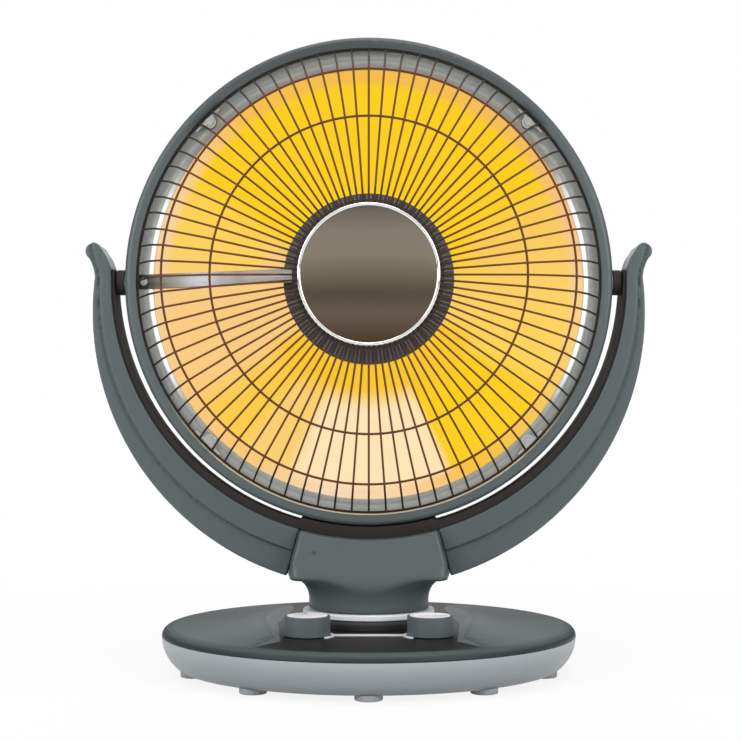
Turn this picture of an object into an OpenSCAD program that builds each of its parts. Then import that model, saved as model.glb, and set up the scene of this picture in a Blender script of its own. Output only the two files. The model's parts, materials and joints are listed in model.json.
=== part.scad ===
/* [Base] */
// Diameter of the base where pan and cover meet
base_d = 325; // [300:1:340]
// Height of the line between pan and cover above the floor
parting_z = 28.7; // [27.5:0.1:32]
// Radius of the rounded side of the pan
pan_curve_r = 30; // [28:0.5:34]
// Wall of the pan and the cover
base_wall = 2.5; // [2:0.1:3]
// Height of the rim band of the cover, and radius of its rounded edge
rim_h = 6.6; // [5.4:0.1:7.2]
// Rise of the two wings above the channel between them
wing_rise = 7.5; // [5:0.1:9]
// Half width of the channel's floor at its narrowest
channel_half = 64; // [62:0.5:68]
// Width of the sloped wall of the channel
channel_slope = 12; // [8:0.5:14]
// Half width of the channel's floor in the middle of the base
channel_bulge = 72; // [68:0.5:76]

/* [Feet] */
// Number of rubber feet
foot_count = 10; // [8:1:12]
// Diameter of a foot
foot_d = 20; // [16:0.5:22]
// Height of a foot
foot_h = 4.7; // [4:0.1:6]
// Distance of the feet's circle inside the edge of the base
foot_inset = 22; // [21:0.5:24]
// Diameter of the stem of a foot
foot_stem_d = 6; // [4:0.5:8]

/* [Knobs] */
// Diameter of a knob
knob_d = 34; // [30:0.5:36]
// Height of a knob
knob_h = 15; // [13:0.5:18]
// Distance of each knob from the middle plane
knob_x = 45.5; // [42:0.5:47]
// Distance of the knobs in front of the swivel axis
knob_y = 74; // [72:0.5:80]
// Diameter of a control shaft
shaft_d = 6; // [5:0.5:7]

/* [Swivel] */
// Radius of the fixed plinth under the neck
plinth_r = 50; // [48.5:0.5:51.5]
// Height of the plinth
plinth_h = 7.7; // [7.5:0.1:10]
// Radius of the pale collar ring
collar_r = 52; // [50:0.5:53]
// Height of the collar ring
collar_h = 4.6; // [4:0.1:6]
// Outer diameter of the swivel post
post_d = 24; // [22:0.5:26]
// Bore of the swivel post for the wires
post_bore_d = 15; // [12:0.5:16]
// Swing of the yoke to each side, in degrees
swing = 35; // [32:0.5:38]
// Radius of the crank that swings the yoke
crank_r = 10; // [9:0.1:10.5]
// Diameter of the crank pin
crank_pin_d = 5; // [4:0.1:5.5]

/* [Neck] */
// Radius of the round foot of the neck
neck_r = 47.4; // [46:0.1:48.4]
// Height of the round foot of the neck
neck_drum_h = 9; // [7.5:0.5:11]
// Half width of the neck at its shoulder
shoulder_half = 63; // [61:0.5:65]
// Half width of the neck where its sides meet the top
crown_half = 52.5; // [50:0.5:54]
// Distance of the front face from the swivel axis at the shoulder
neck_front_y = 50; // [49:0.5:53]
// Distance of the rear face from the swivel axis
neck_rear_y = 49; // [48:0.5:53]
// Distance of the front face from the swivel axis at the crown
crown_front_y = 37; // [34:0.5:42]
// Wall of the neck and the arms
yoke_wall = 2.5; // [2:0.1:3]

/* [Yoke] */
// Height above the floor of the lowest point of the circle that the arms follow
saddle_z = 104.2; // [102:0.1:106]
// Distance of the tilt axis in front of the swivel axis
pivot_front = 10; // [8:0.5:12]
// Gap between the head and the liner of the yoke
yoke_gap = 8; // [7:0.1:10]
// Thickness of the black liner
liner_t = 1.8; // [1.4:0.1:2.4]
// Width of the arms level with the centre of their outer edge
arm_rim_w = 15; // [13.5:0.5:17]
// Drop of the centre of the outer edge below the tilt axis
arm_drop = 24; // [22:0.5:25.5]
// Depth of the arms from front to back
arm_deep = 32; // [30:0.5:36]
// Width of the raised inner bar of the arms level with the centre of its outer edge
arm_bar_w = 9; // [7.5:0.5:10.5]
// Set-back of the outer flange behind the bar
arm_step = 3.5; // [2.5:0.1:4]
// Radius of the pivot bushes
bush_r = 9.9; // [9:0.1:11]
// Diameter of the tilt pins
pin_d = 8; // [7:0.5:9]

/* [Head] */
// Outer radius of the hoop
ring_r = 190; // [188:0.5:191]
// Depth of the hoop from front to back
ring_deep = 30; // [28:0.5:34]
// Width of the front face of the hoop
ring_face = 9; // [8.9:0.1:10]
// Wall of the hoop and the rear housing
ring_wall = 2.4; // [2.2:0.1:2.6]
// Distance of the mouth of the dish inside the hoop's outer face
mouth_inset = 20; // [19:0.5:22]
// Depth of the dish behind its flange
dish_deep = 62; // [56:0.5:66]
// Thickness of the spun reflector
dish_t = 1; // [0.8:0.1:1.4]
// Distance of the reflector flange in front of the tilt axis
flange_f = 6; // [5:0.1:6.6]
// Depth of the rear housing behind the tilt axis
housing_deep = 85; // [80:0.5:92]
// Number of vent slots in the rear housing
vent_count = 30; // [24:1:36]
// Width of a vent slot
vent_w = 5; // [3:0.5:6]

/* [Grille] */
// Number of radial wires
wire_count = 84; // [76:4:92]
// Diameter of a radial wire
wire_d = 1.6; // [1.4:0.1:2]
// Diameter of the wire of the rings
ring_wire_d = 1.8; // [1.6:0.1:2.4]
// Distance inside the hoop's outer face where the wires bend inwards
bend_inset = 22; // [20:0.5:24]
// Distance of the outer wire ring inside the hoop's outer face
outer_wire_inset = 32; // [28:0.1:36]
// Distance of the middle wire ring inside the hoop's outer face
middle_wire_inset = 71; // [60:0.5:85]
// Distance of the bend in front of the tilt axis
bend_f = 37; // [35:0.5:39]
// Distance of the outer wire ring in front of the tilt axis
outer_wire_f = 47.6; // [46:0.1:48.5]
// Distance of the middle wire ring in front of the tilt axis
middle_wire_f = 58; // [55:0.5:58.5]
// Distance of the inner wire ends in front of the tilt axis
hub_wire_f = 59; // [58:0.5:61]
// Radius of the centre disc with its rim
disc_r = 53.6; // [51:0.1:55]
// Rise of the domed face of the centre disc
disc_dome = 3.4; // [2:0.1:5]

/* [Lamp] */
// Radius of the ring that the quartz tube follows
tube_ring_r = 54; // [50:0.5:56]
// Diameter of the quartz tube
tube_d = 10; // [9:0.5:12]
// Part of the ring that the quartz tube fills, in degrees
tube_arc = 320; // [300:5:330]
// Radius of the ribbed shroud behind the grille
shroud_r = 65.5; // [64:0.5:67]
// Distance of the shroud's face in front of the tilt axis
shroud_f = 30.5; // [29:0.1:31]
// Depth of the shroud's skirt
shroud_deep = 12; // [8:0.5:14]
// Radius of the central stem that carries the lamp
stem_r = 20; // [18:0.5:24]

/* [Hidden] */
$fn = 96;

// Clearances: a sliding fit, a running gap, a seat between two pieces, and a cut past a face
fit = 0.05;
run_gap = 0.4;
seat = 0.1;
past = 1;

// Heights in the base, from the floor up
base_r = base_d / 2;
pan_z = foot_h;
pan_top = pan_z + base_wall;
rim_z = parting_z + rim_h;
deck_under = rim_z - base_wall;
wing_z = rim_z + wing_rise;
plinth_z = rim_z + plinth_h;
collar_z = plinth_z + collar_h;
neck_z = collar_z + run_gap;
tongue_h = 3;
tongue_t = 1.8;

foot_circle_r = base_r - foot_inset;
channel_flare = 18;
channel_mouth = 26;

// Screws of the base
case_screw_r = base_r - 42;
case_start = 30;
case_screw_d = 3.4;
case_head_d = 7;
case_head_h = 2.2;
case_boss_d = 9;
case_pad_h = 2.4;
case_screw_l = 15;
case_count = 6;

// Swivel stack, from the plinth up
post_r = post_d / 2;
post_flange_r = 21;
post_flange_t = 3;
bush_t = 3;
hub_wall = 4;
hub_r = post_r + bush_t + hub_wall;
washer_z = collar_z - run_gap;
washer_r = 30;
ledge_t = 2.5;
floor_z = neck_z + ledge_t + seat;
floor_t = 3;
hub_top = floor_z + floor_t + 3.4;
clip_t = 1.5;
clip_r = post_r + bush_t + 1;
post_top = hub_top + seat + clip_t + 1.4;
slot_plate_t = 3;
slot_top = post_top + slot_plate_t;
crank_t = 3;
crank_z = slot_top + 0.7;
motor_z = crank_z + crank_t + 3.8;
motor_r = 24;
motor_h = 18;
motor_ear_x = 30;
motor_y = crank_r / tan(swing);
crank_disc_r = 14;
crank_pin_z = post_top - 0.8;
slot_play = 0.5;
slot_half = crank_pin_d / 2 + slot_play;
slot_near = sqrt(pow(crank_r, 2) + pow(motor_y, 2)) - slot_play;
slot_far = crank_r + motor_y + slot_play;
slot_wall = 3.2;

// Controls in the base
knob_wall = 2;
knob_z = rim_z + run_gap;
knob_top = knob_z + knob_h;
cap_t = 1.5;
timer_pointer = 100;
power_pointer = 15;
shaft_r = shaft_d / 2;
shaft_up = 9;
control_side = 38;
control_h = 18;
control_z = deck_under - seat - control_h;
tip_x = 62;
tip_y = 58;
plunger_r = 3;
plunger_travel = 4;
plunger_floor = 0.2;
plunger_collar_t = 1.5;
plunger_collar_r = 5;
tip_box_top = 29;
tip_box_half = 11;
tip_wall = 2;
tip_box_low = pan_top + 3.6;
plunger_collar_z = tip_box_low + tip_wall + plunger_travel + 0.3;
plunger_top = plunger_collar_z + 6;
gland_z = 18;
gland_bore = 7.2;
gland_r = 7;
gland_flange_r = 9;
gland_flange_t = 1.6;
gland_reach = 13;
ballast_r = base_r - 54;
ballast_t = 3;

// Neck
flare_r = shoulder_half - neck_r;
flare_z = neck_z + neck_drum_h;
shoulder_z = flare_z + flare_r;
block_r = shoulder_half + 13;
neck_in_r = neck_r - yoke_wall;
ledge_r = 38;
ledge_screw_r = 41.2;
join_low = [40, neck_z + 14];
join_high = [30, saddle_z - 8.2];
join_boss_r = 4.5;
join_screw_d = 3;
join_screw_l = 18;
join_depth = 6;
dimple_at = [-42, saddle_z - 10.2];
dimple_d = 3;
dimple_deep = 4;

// Yoke: radii about the tilt axis
liner_r = ring_r + yoke_gap;
arm_r = liner_r + liner_t + 0.2;
arm_outer_r = arm_r + arm_rim_w;
pivot_z = saddle_z + arm_r;
liner_rise = 5;
liner_pad_r = ring_r + 1.1;
bar_r = arm_r + arm_bar_w;
bar_drop = 9;
arm_half = arm_deep / 2;
flange_half = arm_half - arm_step;
cover_t = 2.4;
split_f = -flange_half + cover_t;
groove_w = 1.6;
tip_top = 30;
tip_round = 6.5;
liner_half = arm_half - 3;
liner_end = 9;
crown_y = -sqrt(pow(arm_r, 2) - pow(crown_half, 2));
shoulder_y = shoulder_z - pivot_z;
side_lean = (shoulder_half - crown_half) / (crown_y - shoulder_y);
collar_out = 1.6;
root_out = collar_out + seat;
arm_boss_end = arm_r + 7;
boss_room = 9.5;
arm_out_x = sqrt(pow(arm_outer_r, 2) - pow(arm_drop + boss_room, 2));
pin_r = pin_d / 2;
pin_in = ring_r - ring_wall - 4.6;
pin_head_r = 7;
pin_head_t = 2.2;
nut_t = 3.7;
nut_r = 6.6;
spigot_r = pin_r + 2;

// Head: distances f run forwards from the tilt axis
ring_back = -ring_deep / 2 - 1;
ring_front = ring_deep / 2 - 1;
ring_round = 4.4;
lip_r = ring_r - ring_face;
dish_r = ring_r - mouth_inset;
rim_wire_r = lip_r - 0.3 - ring_wire_d / 2;
bend_r = ring_r - bend_inset;
outer_wire_r = ring_r - outer_wire_inset;
middle_wire_r = ring_r - middle_wire_inset;
flange_back = flange_f - dish_t;
seat_flange_t = 2.5;
housing_r = ring_r - ring_wall - 0.5;
housing_flat_r = 42;
dish_flat_r = 32;
dish_hole_r = 17;
notch_half = 9;
notch_r = ring_r - 11;
clip_screw_r = rim_wire_r - ring_wire_d / 2 - 3.4;
clip_screw_d = 3;
clip_boss_r = 2.8;
clip_plate_t = 1.2;
clip_f = flange_f + 3.4;
tab_t = 2.2;
rim_wire_f = clip_f + clip_plate_t + 0.3 + ring_wire_d / 2;
wire_start_f = rim_wire_f + ring_wire_d / 2 + 0.45;
wire_r = wire_d / 2;
hub_plate_r = disc_r + 3;
hub_plate_t = 1.4;
hub_plate_f = hub_wire_f - wire_r - 0.8 - hub_plate_t;
disc_f = hub_wire_f + wire_r + 0.2;
disc_rim_w = 3;
disc_seat_t = 1.6;
stem_wall = 1.5;
stem_flange_r = 29;
stem_flange_t = 1.5;
dish_floor_f = flange_f - dish_deep;
lamp_f = 4;
filament_d = 2.6;
tube_gap = (360 - tube_arc) / 2;
conduit_w = 11.4;
conduit_end_w = 10;
conduit_t = 4;
conduit_wall = 0.8;
conduit_in_r = 56;
conduit_out_r = dish_r + 0.5;
conduit_tab = lip_r - 0.5 - conduit_out_r;

module at_head() {
    translate([0, -pivot_front, pivot_z])
        rotate([90, 0, 0])
            children();
}

module both_sides() {
    children();
    mirror([1, 0, 0])
        children();
}

module around(count, r, start = 0) {
    for (i = [0 : count - 1])
        rotate(start + 360 * i / count)
            translate([r, 0, 0])
                children();
}

module pin_from(z0, z1, d) {
    translate([0, 0, z0])
        cylinder(d = d, h = z1 - z0);
}

module tube(z0, z1, r_out, r_in) {
    difference() {
        pin_from(z0, z1, 2 * r_out);
        pin_from(z0 - past, z1 + past, 2 * r_in);
    }
}

// Screw along Z with its head down: the head's face, the shank's length
module screw(head_z, head_d, head_h, shank_d, shank_l) {
    pin_from(head_z, head_z + head_h, head_d);
    pin_from(head_z + head_h - 0.01, head_z + head_h + shank_l, shank_d);
}

// Bowl section of the pan, drawn in by an inset
module pan_section(inset, top) {
    corner_r = base_r - pan_curve_r;
    intersection() {
        union() {
            translate([corner_r, parting_z])
                circle(pan_curve_r - inset);
            translate([0, parting_z - pan_curve_r])
                square([corner_r, pan_curve_r]);
            if (inset > 0)
                translate([0, parting_z])
                    square([base_r - inset, past]);
        }
        translate([0, pan_z + inset])
            square([base_r, top - pan_z - inset]);
    }
}

module base_pan() {
    color("#a3a8af")
        difference() {
            union() {
                difference() {
                    rotate_extrude()
                        pan_section(0, parting_z);
                    rotate_extrude()
                        pan_section(base_wall, parting_z + past);
                }
                around(case_count, case_screw_r, case_start)
                    pin_from(pan_top - 0.01, pan_top + case_pad_h, case_boss_d + 3);
                translate([tip_x, tip_y, 0])
                    pin_from(pan_top - 0.01, pan_top + 2, 4 * plunger_r);
            }
            around(case_count, case_screw_r, case_start) {
                pin_from(pan_z - past, pan_z + 2.6, case_head_d + 0.6);
                pin_from(pan_z, pan_top + case_pad_h + past, case_screw_d + 0.4);
            }
            around(foot_count, foot_circle_r, -90)
                pin_from(pan_z - past, pan_top + past, foot_stem_d + 2 * fit);
            translate([tip_x, tip_y, 0])
                pin_from(pan_z - past, pan_top + 2 + past, 2 * plunger_r + 0.5);
            translate([0, base_r, gland_z])
                rotate([-90, 0, 0]) {
                    pin_from(-gland_reach - past, past, 2 * gland_r + 2 * fit);
                    pin_from(-gland_flange_t - seat, past, 2 * gland_flange_r + 2 * seat);
                }
        }
}

// Plan of the channel: bulged in the middle, necked, and flared towards the rim
module channel_plan(grow) {
    neck_y = base_r * 0.625;
    flare_y = base_r * 0.82;
    flare_w = channel_half + channel_flare;
    mouth_w = channel_half + channel_mouth;
    right = [
        [mouth_w, -base_r], [flare_w, -flare_y], [channel_half, -neck_y], [channel_bulge, 0],
        [channel_half, neck_y], [flare_w, flare_y], [mouth_w, base_r]
    ];
    polygon([for (side = [1, -1]) for (p = right) [side * (p[0] + grow), side * p[1]]]);
}

// Sloped cutter of the channel, from a floor height up
module channel_cutter(z0, grow) {
    h = wing_rise + 2;
    translate([0, 0, z0])
        linear_extrude(height = h, slices = 1,
            scale = [1 + channel_slope * h / wing_rise / channel_bulge, 1])
            channel_plan(grow);
}

// Section of the cover: a rounded rim band and the shallow cone of the wings
module cover_section(inset) {
    wing_r = base_r - rim_h - 1;
    translate([base_r - rim_h, parting_z])
        intersection() {
            circle(rim_h - inset);
            square(rim_h);
        }
    translate([0, parting_z - (inset > 0 ? past : 0)])
        square([base_r - rim_h, rim_h - inset + (inset > 0 ? past : 0)]);
    if (inset > 0)
        translate([0, parting_z - past])
            square([base_r - inset, past + 0.01]);
    polygon([
        [0, rim_z - inset - 0.01], [wing_r, rim_z - inset - 0.01],
        [channel_half, wing_z - inset], [0, wing_z - inset]
    ]);
}

// Top of a screw boss: inside the channel's floor, or inside the wing above it
function case_boss_top(a) = abs(sin(a)) > 0.9 ? rim_z - 0.5 :
    rim_z - base_wall + 0.8
        + wing_rise * (base_r - rim_h - 1 - case_screw_r) / (base_r - rim_h - 1 - channel_half);

module base_cover() {
    tongue_r = base_r - pan_curve_r - 3 * seat
        + sqrt(pow(pan_curve_r - base_wall, 2) - pow(tongue_h, 2));
    color("#4b4f52")
        difference() {
            union() {
                difference() {
                    rotate_extrude()
                        cover_section(0);
                    channel_cutter(rim_z, 0);
                    difference() {
                        rotate_extrude()
                            cover_section(base_wall);
                        channel_cutter(deck_under, base_wall);
                    }
                }
                tube(parting_z - tongue_h, parting_z + 0.01, tongue_r, tongue_r - tongue_t);
                tube(parting_z, parting_z + 1, base_r - 2, tongue_r - tongue_t);
                for (a = [case_start : 360 / case_count : case_start + 359])
                    rotate(a)
                        translate([case_screw_r, 0, 0])
                            pin_from(pan_top + case_pad_h + seat, case_boss_top(a), case_boss_d);
            }
            around(case_count, case_screw_r, case_start)
                pin_from(pan_top + case_pad_h - past, deck_under - 2, case_screw_d + 2 * fit);
            pin_from(deck_under - past, wing_z, post_bore_d + 2);
            around(3, post_flange_r - 4, 90)
                pin_from(deck_under - past, rim_z + past, case_screw_d + 0.2);
            both_sides()
                translate([knob_x, -knob_y, 0])
                    pin_from(deck_under - past, rim_z + past, shaft_d + 2);
        }
}

module feet() {
    color("#8d9196")
        around(foot_count, foot_circle_r, -90) {
            pin_from(0, pan_z, foot_d);
            pin_from(pan_z - 0.01, pan_top + 0.01, foot_stem_d);
            pin_from(pan_top, pan_top + 1.6, foot_stem_d + 3);
        }
}

module base_screws() {
    color("#b8bbbe") {
        around(case_count, case_screw_r, case_start)
            screw(pan_z + 0.3, case_head_d, case_head_h, case_screw_d, case_screw_l);
        around(3, post_flange_r - 4, 90)
            screw(deck_under - 0.05 - case_head_h, case_head_d - 1, case_head_h, case_screw_d,
                base_wall + post_flange_t + 1);
    }
}

module plinth() {
    color("#26282a")
        difference() {
            pin_from(rim_z, plinth_z, 2 * plinth_r);
            pin_from(rim_z - past, plinth_z - 3, 2 * plinth_r - 6);
            pin_from(rim_z, plinth_z + past, post_d + 2 * fit);
        }
}

module collar_ring() {
    color("#cfd2d5")
        tube(plinth_z, collar_z, collar_r, collar_r - 12);
}

module deck_trim() {
    strip = 4;
    bezel = 2.4;
    hug_r = knob_d / 2 + 0.8;
    color("#b9bdc1")
        translate([0, -knob_y, rim_z])
            linear_extrude(1)
                difference() {
                    union() {
                        translate([-knob_x, 0])
                            square([2 * knob_x, strip]);
                        both_sides()
                            intersection() {
                                translate([knob_x, 0])
                                    circle(hug_r + bezel);
                                translate([0, -hug_r * 0.7])
                                    square([knob_x - hug_r * 0.55, hug_r * 1.7]);
                            }
                    }
                    both_sides()
                        translate([knob_x, 0])
                            circle(hug_r);
                }
}

module swivel_post() {
    color("#9fa3a6")
        difference() {
            union() {
                pin_from(rim_z, post_top, post_d);
                pin_from(rim_z, rim_z + post_flange_t, 2 * post_flange_r);
            }
            pin_from(rim_z - past, post_top + past, post_bore_d);
            around(3, post_flange_r - 4, 90)
                pin_from(rim_z - past, rim_z + 6, case_screw_d + 2 * fit);
        }
}

module thrust_washer() {
    color("#e6e6e0")
        tube(plinth_z, washer_z - seat, washer_r, post_r + fit);
}

module retaining_clip() {
    color("#6f7376")
        difference() {
            tube(hub_top + seat, hub_top + seat + clip_t, clip_r, post_r + fit);
            translate([-2, -clip_r - past, hub_top])
                cube([4, clip_r, clip_t + past]);
        }
}

// Fixed arm on the post: the crank pin runs in its slot
module slotted_arm() {
    half = slot_half + slot_wall;
    color("#9fa3a6")
        difference() {
            union() {
                pin_from(post_top, slot_top, post_d + 2);
                translate([-half, 0, post_top])
                    cube([2 * half, slot_far, slot_plate_t]);
                translate([0, slot_far, 0])
                    pin_from(post_top, slot_top, 2 * half);
            }
            translate([-slot_half, slot_near, post_top - past])
                cube([2 * slot_half, slot_far - slot_near, slot_plate_t + 2 * past]);
            translate([0, slot_near, 0])
                pin_from(post_top - past, slot_top + past, 2 * slot_half);
            translate([0, slot_far, 0])
                pin_from(post_top - past, slot_top + past, 2 * slot_half);
            translate([0, -3, 0])
                pin_from(post_top - past, slot_top + past, post_bore_d - 4);
        }
}

// Switch body under the deck with a collar round its shaft
module control_body(tall) {
    difference() {
        union() {
            translate([-control_side / 2, -control_side / 2, control_z + control_h - tall])
                cube([control_side, control_side, tall]);
            pin_from(deck_under - 1, rim_z - 0.5, shaft_d + 1.8);
        }
        pin_from(control_z + 6, rim_z + past, shaft_d + 2 * fit);
    }
}

module timer_module() {
    color("#d8d4c8")
        translate([-knob_x, -knob_y, 0])
            control_body(control_h);
}

module power_switch() {
    color("#3a3a3c")
        translate([knob_x, -knob_y, 0])
            control_body(control_h - 4);
}

module control_shaft() {
    difference() {
        pin_from(control_z + 7, knob_z + shaft_up, shaft_d);
        translate([shaft_r - 1, -shaft_d, knob_z])
            cube([shaft_d, 2 * shaft_d, shaft_up + past]);
    }
}

module timer_shaft() {
    color("#c9cbcd")
        translate([-knob_x, -knob_y, 0])
            control_shaft();
}

module power_shaft() {
    color("#c9cbcd")
        translate([knob_x, -knob_y, 0])
            control_shaft();
}

// Hollow knob with a hub for the shaft, a seat for the pale cap and a groove that points
module knob(pointer) {
    knob_r = knob_d / 2;
    difference() {
        union() {
            difference() {
                pin_from(knob_z, knob_top, knob_d);
                pin_from(knob_z - past, knob_top - cap_t - knob_wall, knob_d - 2 * knob_wall);
            }
            pin_from(knob_z, knob_top - cap_t - 0.1, shaft_d + 5);
        }
        pin_from(knob_top - cap_t, knob_top + past, knob_d - 2 * knob_wall);
        difference() {
            pin_from(knob_z - past, knob_z + shaft_up + 0.2, shaft_d + 2 * fit);
            translate([shaft_r - 1 + fit, -shaft_d, knob_z - 2 * past])
                cube([shaft_d, 2 * shaft_d, shaft_up + 4 * past]);
        }
        rotate(pointer)
            translate([knob_r - knob_wall, -1, knob_top - 5])
                cube([knob_wall + past, 2, 5 + past]);
    }
}

module knob_cap(pointer) {
    difference() {
        pin_from(knob_top - cap_t, knob_top + 0.3, knob_d - 2 * knob_wall - 2 * fit);
        rotate(pointer)
            translate([knob_d / 2 - 8, -0.8, knob_top - 0.4])
                cube([9, 1.6, 2]);
    }
}

module timer_knob() {
    color("#4f5559")
        translate([-knob_x, -knob_y, 0])
            knob(timer_pointer);
}

module timer_knob_cap() {
    color("#e9eaea")
        translate([-knob_x, -knob_y, 0])
            knob_cap(timer_pointer);
}

module power_knob() {
    color("#4f5559")
        translate([knob_x, -knob_y, 0])
            knob(power_pointer);
}

module power_knob_cap() {
    color("#e9eaea")
        translate([knob_x, -knob_y, 0])
            knob_cap(power_pointer);
}

module tip_switch_housing() {
    color("#2f3133")
        translate([tip_x, tip_y, 0])
            difference() {
                translate([-tip_box_half, -tip_box_half, tip_box_low])
                    cube([2 * tip_box_half, 2 * tip_box_half, tip_box_top - tip_box_low]);
                pin_from(tip_box_low + tip_wall, tip_box_top - tip_wall, 2 * plunger_collar_r + 1);
                pin_from(tip_box_low - past, tip_box_low + tip_wall + past, 2 * plunger_r + 0.4);
            }
}

module tip_plunger() {
    color("#d9dadb")
        translate([tip_x, tip_y, 0]) {
            pin_from(plunger_floor, plunger_top, 2 * plunger_r);
            pin_from(plunger_collar_z, plunger_collar_z + plunger_collar_t, 2 * plunger_collar_r);
        }
}

module tip_spring() {
    color("#8f9294")
        translate([tip_x, tip_y, 0])
            tube(plunger_collar_z + plunger_collar_t + 0.1, tip_box_top - tip_wall - 0.1,
                plunger_collar_r, plunger_r + 0.3);
}

module cord_gland() {
    color("#202224")
        translate([0, base_r, gland_z])
            rotate([90, 0, 0])
                difference() {
                    union() {
                        pin_from(0, gland_flange_t, 2 * gland_flange_r);
                        pin_from(gland_flange_t - 0.01, gland_reach, 2 * gland_r);
                    }
                    pin_from(-past, gland_reach + past, gland_bore);
                }
}

module terminal_block() {
    ways = 4;
    pitch = 10;
    low = pan_top + ballast_t + seat;
    color("#e4e2da")
        translate([0, 80, low])
            difference() {
                translate([-ways * pitch / 2, -8, 0])
                    cube([ways * pitch, 16, 13]);
                for (i = [0 : ways - 1])
                    translate([(i - (ways - 1) / 2) * pitch, 0, 0]) {
                        pin_from(4, 14, 5);
                        translate([0, 9, 6])
                            rotate([90, 0, 0])
                                cylinder(d = 3.4, h = 18);
                    }
            }
}

module ballast_plate() {
    color("#6d6f70")
        difference() {
            pin_from(pan_top, pan_top + ballast_t, 2 * ballast_r);
            translate([tip_x, tip_y, 0])
                pin_from(pan_top - past, pan_top + ballast_t + past, 4 * plunger_r + 2);
            pin_from(pan_top - past, pan_top + ballast_t + past, 40);
        }
}

// Round foot, flare and corner rounding of the neck, as one turned section
module neck_turn(inset) {
    top = 66;
    difference() {
        translate([0, neck_z - 0.01])
            square([block_r - inset, top + neck_drum_h]);
        translate([neck_r - inset, neck_z - past])
            square([block_r, neck_drum_h + past]);
        translate([shoulder_half, flare_z - past])
            square([block_r, flare_r + inset + past]);
        translate([neck_r - inset + flare_r + inset, flare_z])
            circle(flare_r + inset);
    }
}

module neck_front_shape(inset) {
    low = neck_z - pivot_z;
    difference() {
        translate([0, pivot_z])
            polygon([
                [-shoulder_half - 9 + inset, low], [shoulder_half + 9 - inset, low],
                [shoulder_half + 9 - inset, shoulder_y - 3],
                [shoulder_half - inset, shoulder_y - 3 + 0.01],
                [crown_half - inset, crown_y], [crown_half - inset, crown_y + 12],
                [inset - crown_half, crown_y + 12], [inset - crown_half, crown_y],
                [inset - shoulder_half, shoulder_y - 3 + 0.01],
                [inset - shoulder_half - 9, shoulder_y - 3]
            ]);
        translate([0, pivot_z])
            circle(arm_r + inset);
    }
}

module neck_side_shape(inset) {
    top = pivot_z + crown_y + 4;
    polygon([
        [inset - neck_front_y, neck_z - past], [neck_rear_y - inset, neck_z - past],
        [neck_rear_y - inset, top], [inset - crown_front_y, top],
        [inset - crown_front_y, top - 6], [inset - neck_front_y, shoulder_z - 3]
    ]);
}

module neck_form(inset) {
    intersection() {
        rotate_extrude()
            neck_turn(inset);
        rotate([90, 0, 0])
            linear_extrude(4 * neck_r, center = true)
                neck_front_shape(inset);
        rotate([90, 0, 90])
            linear_extrude(4 * neck_r, center = true)
                neck_side_shape(inset);
    }
}

// Raised collar round the root of an arm, on the slanted side of the neck
module arm_collar(grow) {
    at_head()
        linear_extrude(arm_deep + 2 * grow, center = true)
            polygon([
                [shoulder_half - 6, shoulder_y],
                [shoulder_half + grow - 2 * side_lean, shoulder_y + 2],
                [crown_half + grow, crown_y - 2 + grow], [crown_half - 4, crown_y - 2]
            ]);
}

module arm_socket() {
    at_head()
        linear_extrude(arm_deep - 12, center = true)
            polygon([
                [shoulder_half - 24, shoulder_y + 5], [shoulder_half + 12, shoulder_y + 5],
                [shoulder_half + 12, crown_y - 5], [shoulder_half - 24, crown_y - 5]
            ]);
}

module neck_shell() {
    difference() {
        union() {
            difference() {
                union() {
                    neck_form(0);
                    both_sides()
                        arm_collar(collar_out);
                }
                neck_form(yoke_wall);
                translate([0, 0, neck_z - past])
                    cylinder(r = neck_in_r, h = past + 0.1);
            }
            tube(neck_z, neck_z + ledge_t, neck_in_r + 0.5, ledge_r);
            intersection() {
                neck_form(0.5);
                both_sides()
                    for (p = [join_low, join_high])
                        translate([p[0], 2 * neck_r, p[1]])
                            rotate([90, 0, 0])
                                cylinder(r = join_boss_r, h = 4 * neck_r);
            }
        }
        both_sides()
            arm_socket();
        both_sides()
            for (p = [join_low, join_high])
                translate([p[0], 0, p[1]])
                    rotate([90, 0, 0]) {
                        pin_from(-4 * neck_r, -join_depth, join_screw_d + 4);
                        pin_from(-join_depth - past, 0, join_screw_d + 0.4);
                        pin_from(-past, 15, join_screw_d + 2 * fit);
                    }
        around(4, ledge_screw_r, 45)
            pin_from(neck_z - past, neck_z + ledge_t + past, join_screw_d + 2 * fit);
    }
}

module neck_front() {
    color("#4d5457")
        difference() {
            intersection() {
                neck_shell();
                translate([-2 * neck_r, -4 * neck_r, 0])
                    cube([4 * neck_r, 4 * neck_r, pivot_z]);
            }
            translate([dimple_at[0], -crown_front_y - 8, dimple_at[1]])
                rotate([-90, 0, 0])
                    cylinder(d = dimple_d, h = dimple_deep);
        }
}

module neck_rear() {
    color("#4d5457")
        intersection() {
            neck_shell();
            translate([-2 * neck_r, 0, 0])
                cube([4 * neck_r, 4 * neck_r, pivot_z]);
        }
}

// Bearing plate in the neck, with the hub round the post and two motor posts
module neck_floor() {
    color("#7d8184")
        difference() {
            union() {
                pin_from(floor_z, floor_z + floor_t, 2 * (neck_in_r - 0.3));
                pin_from(washer_z, hub_top, 2 * hub_r);
                both_sides()
                    translate([motor_ear_x, motor_y, 0])
                        pin_from(floor_z, motor_z, 8);
            }
            pin_from(washer_z - past, hub_top + past, 2 * (post_r + bush_t));
            around(4, ledge_screw_r, 45)
                pin_from(floor_z - past, floor_z + floor_t + past, join_screw_d + 0.4);
            both_sides()
                translate([motor_ear_x, motor_y, 0])
                    pin_from(motor_z - 8, motor_z + past, join_screw_d + 2 * fit);
        }
}

module swivel_bush() {
    color("#e6e6e0")
        tube(washer_z, hub_top, post_r + bush_t - fit, post_r + fit);
}

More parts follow.
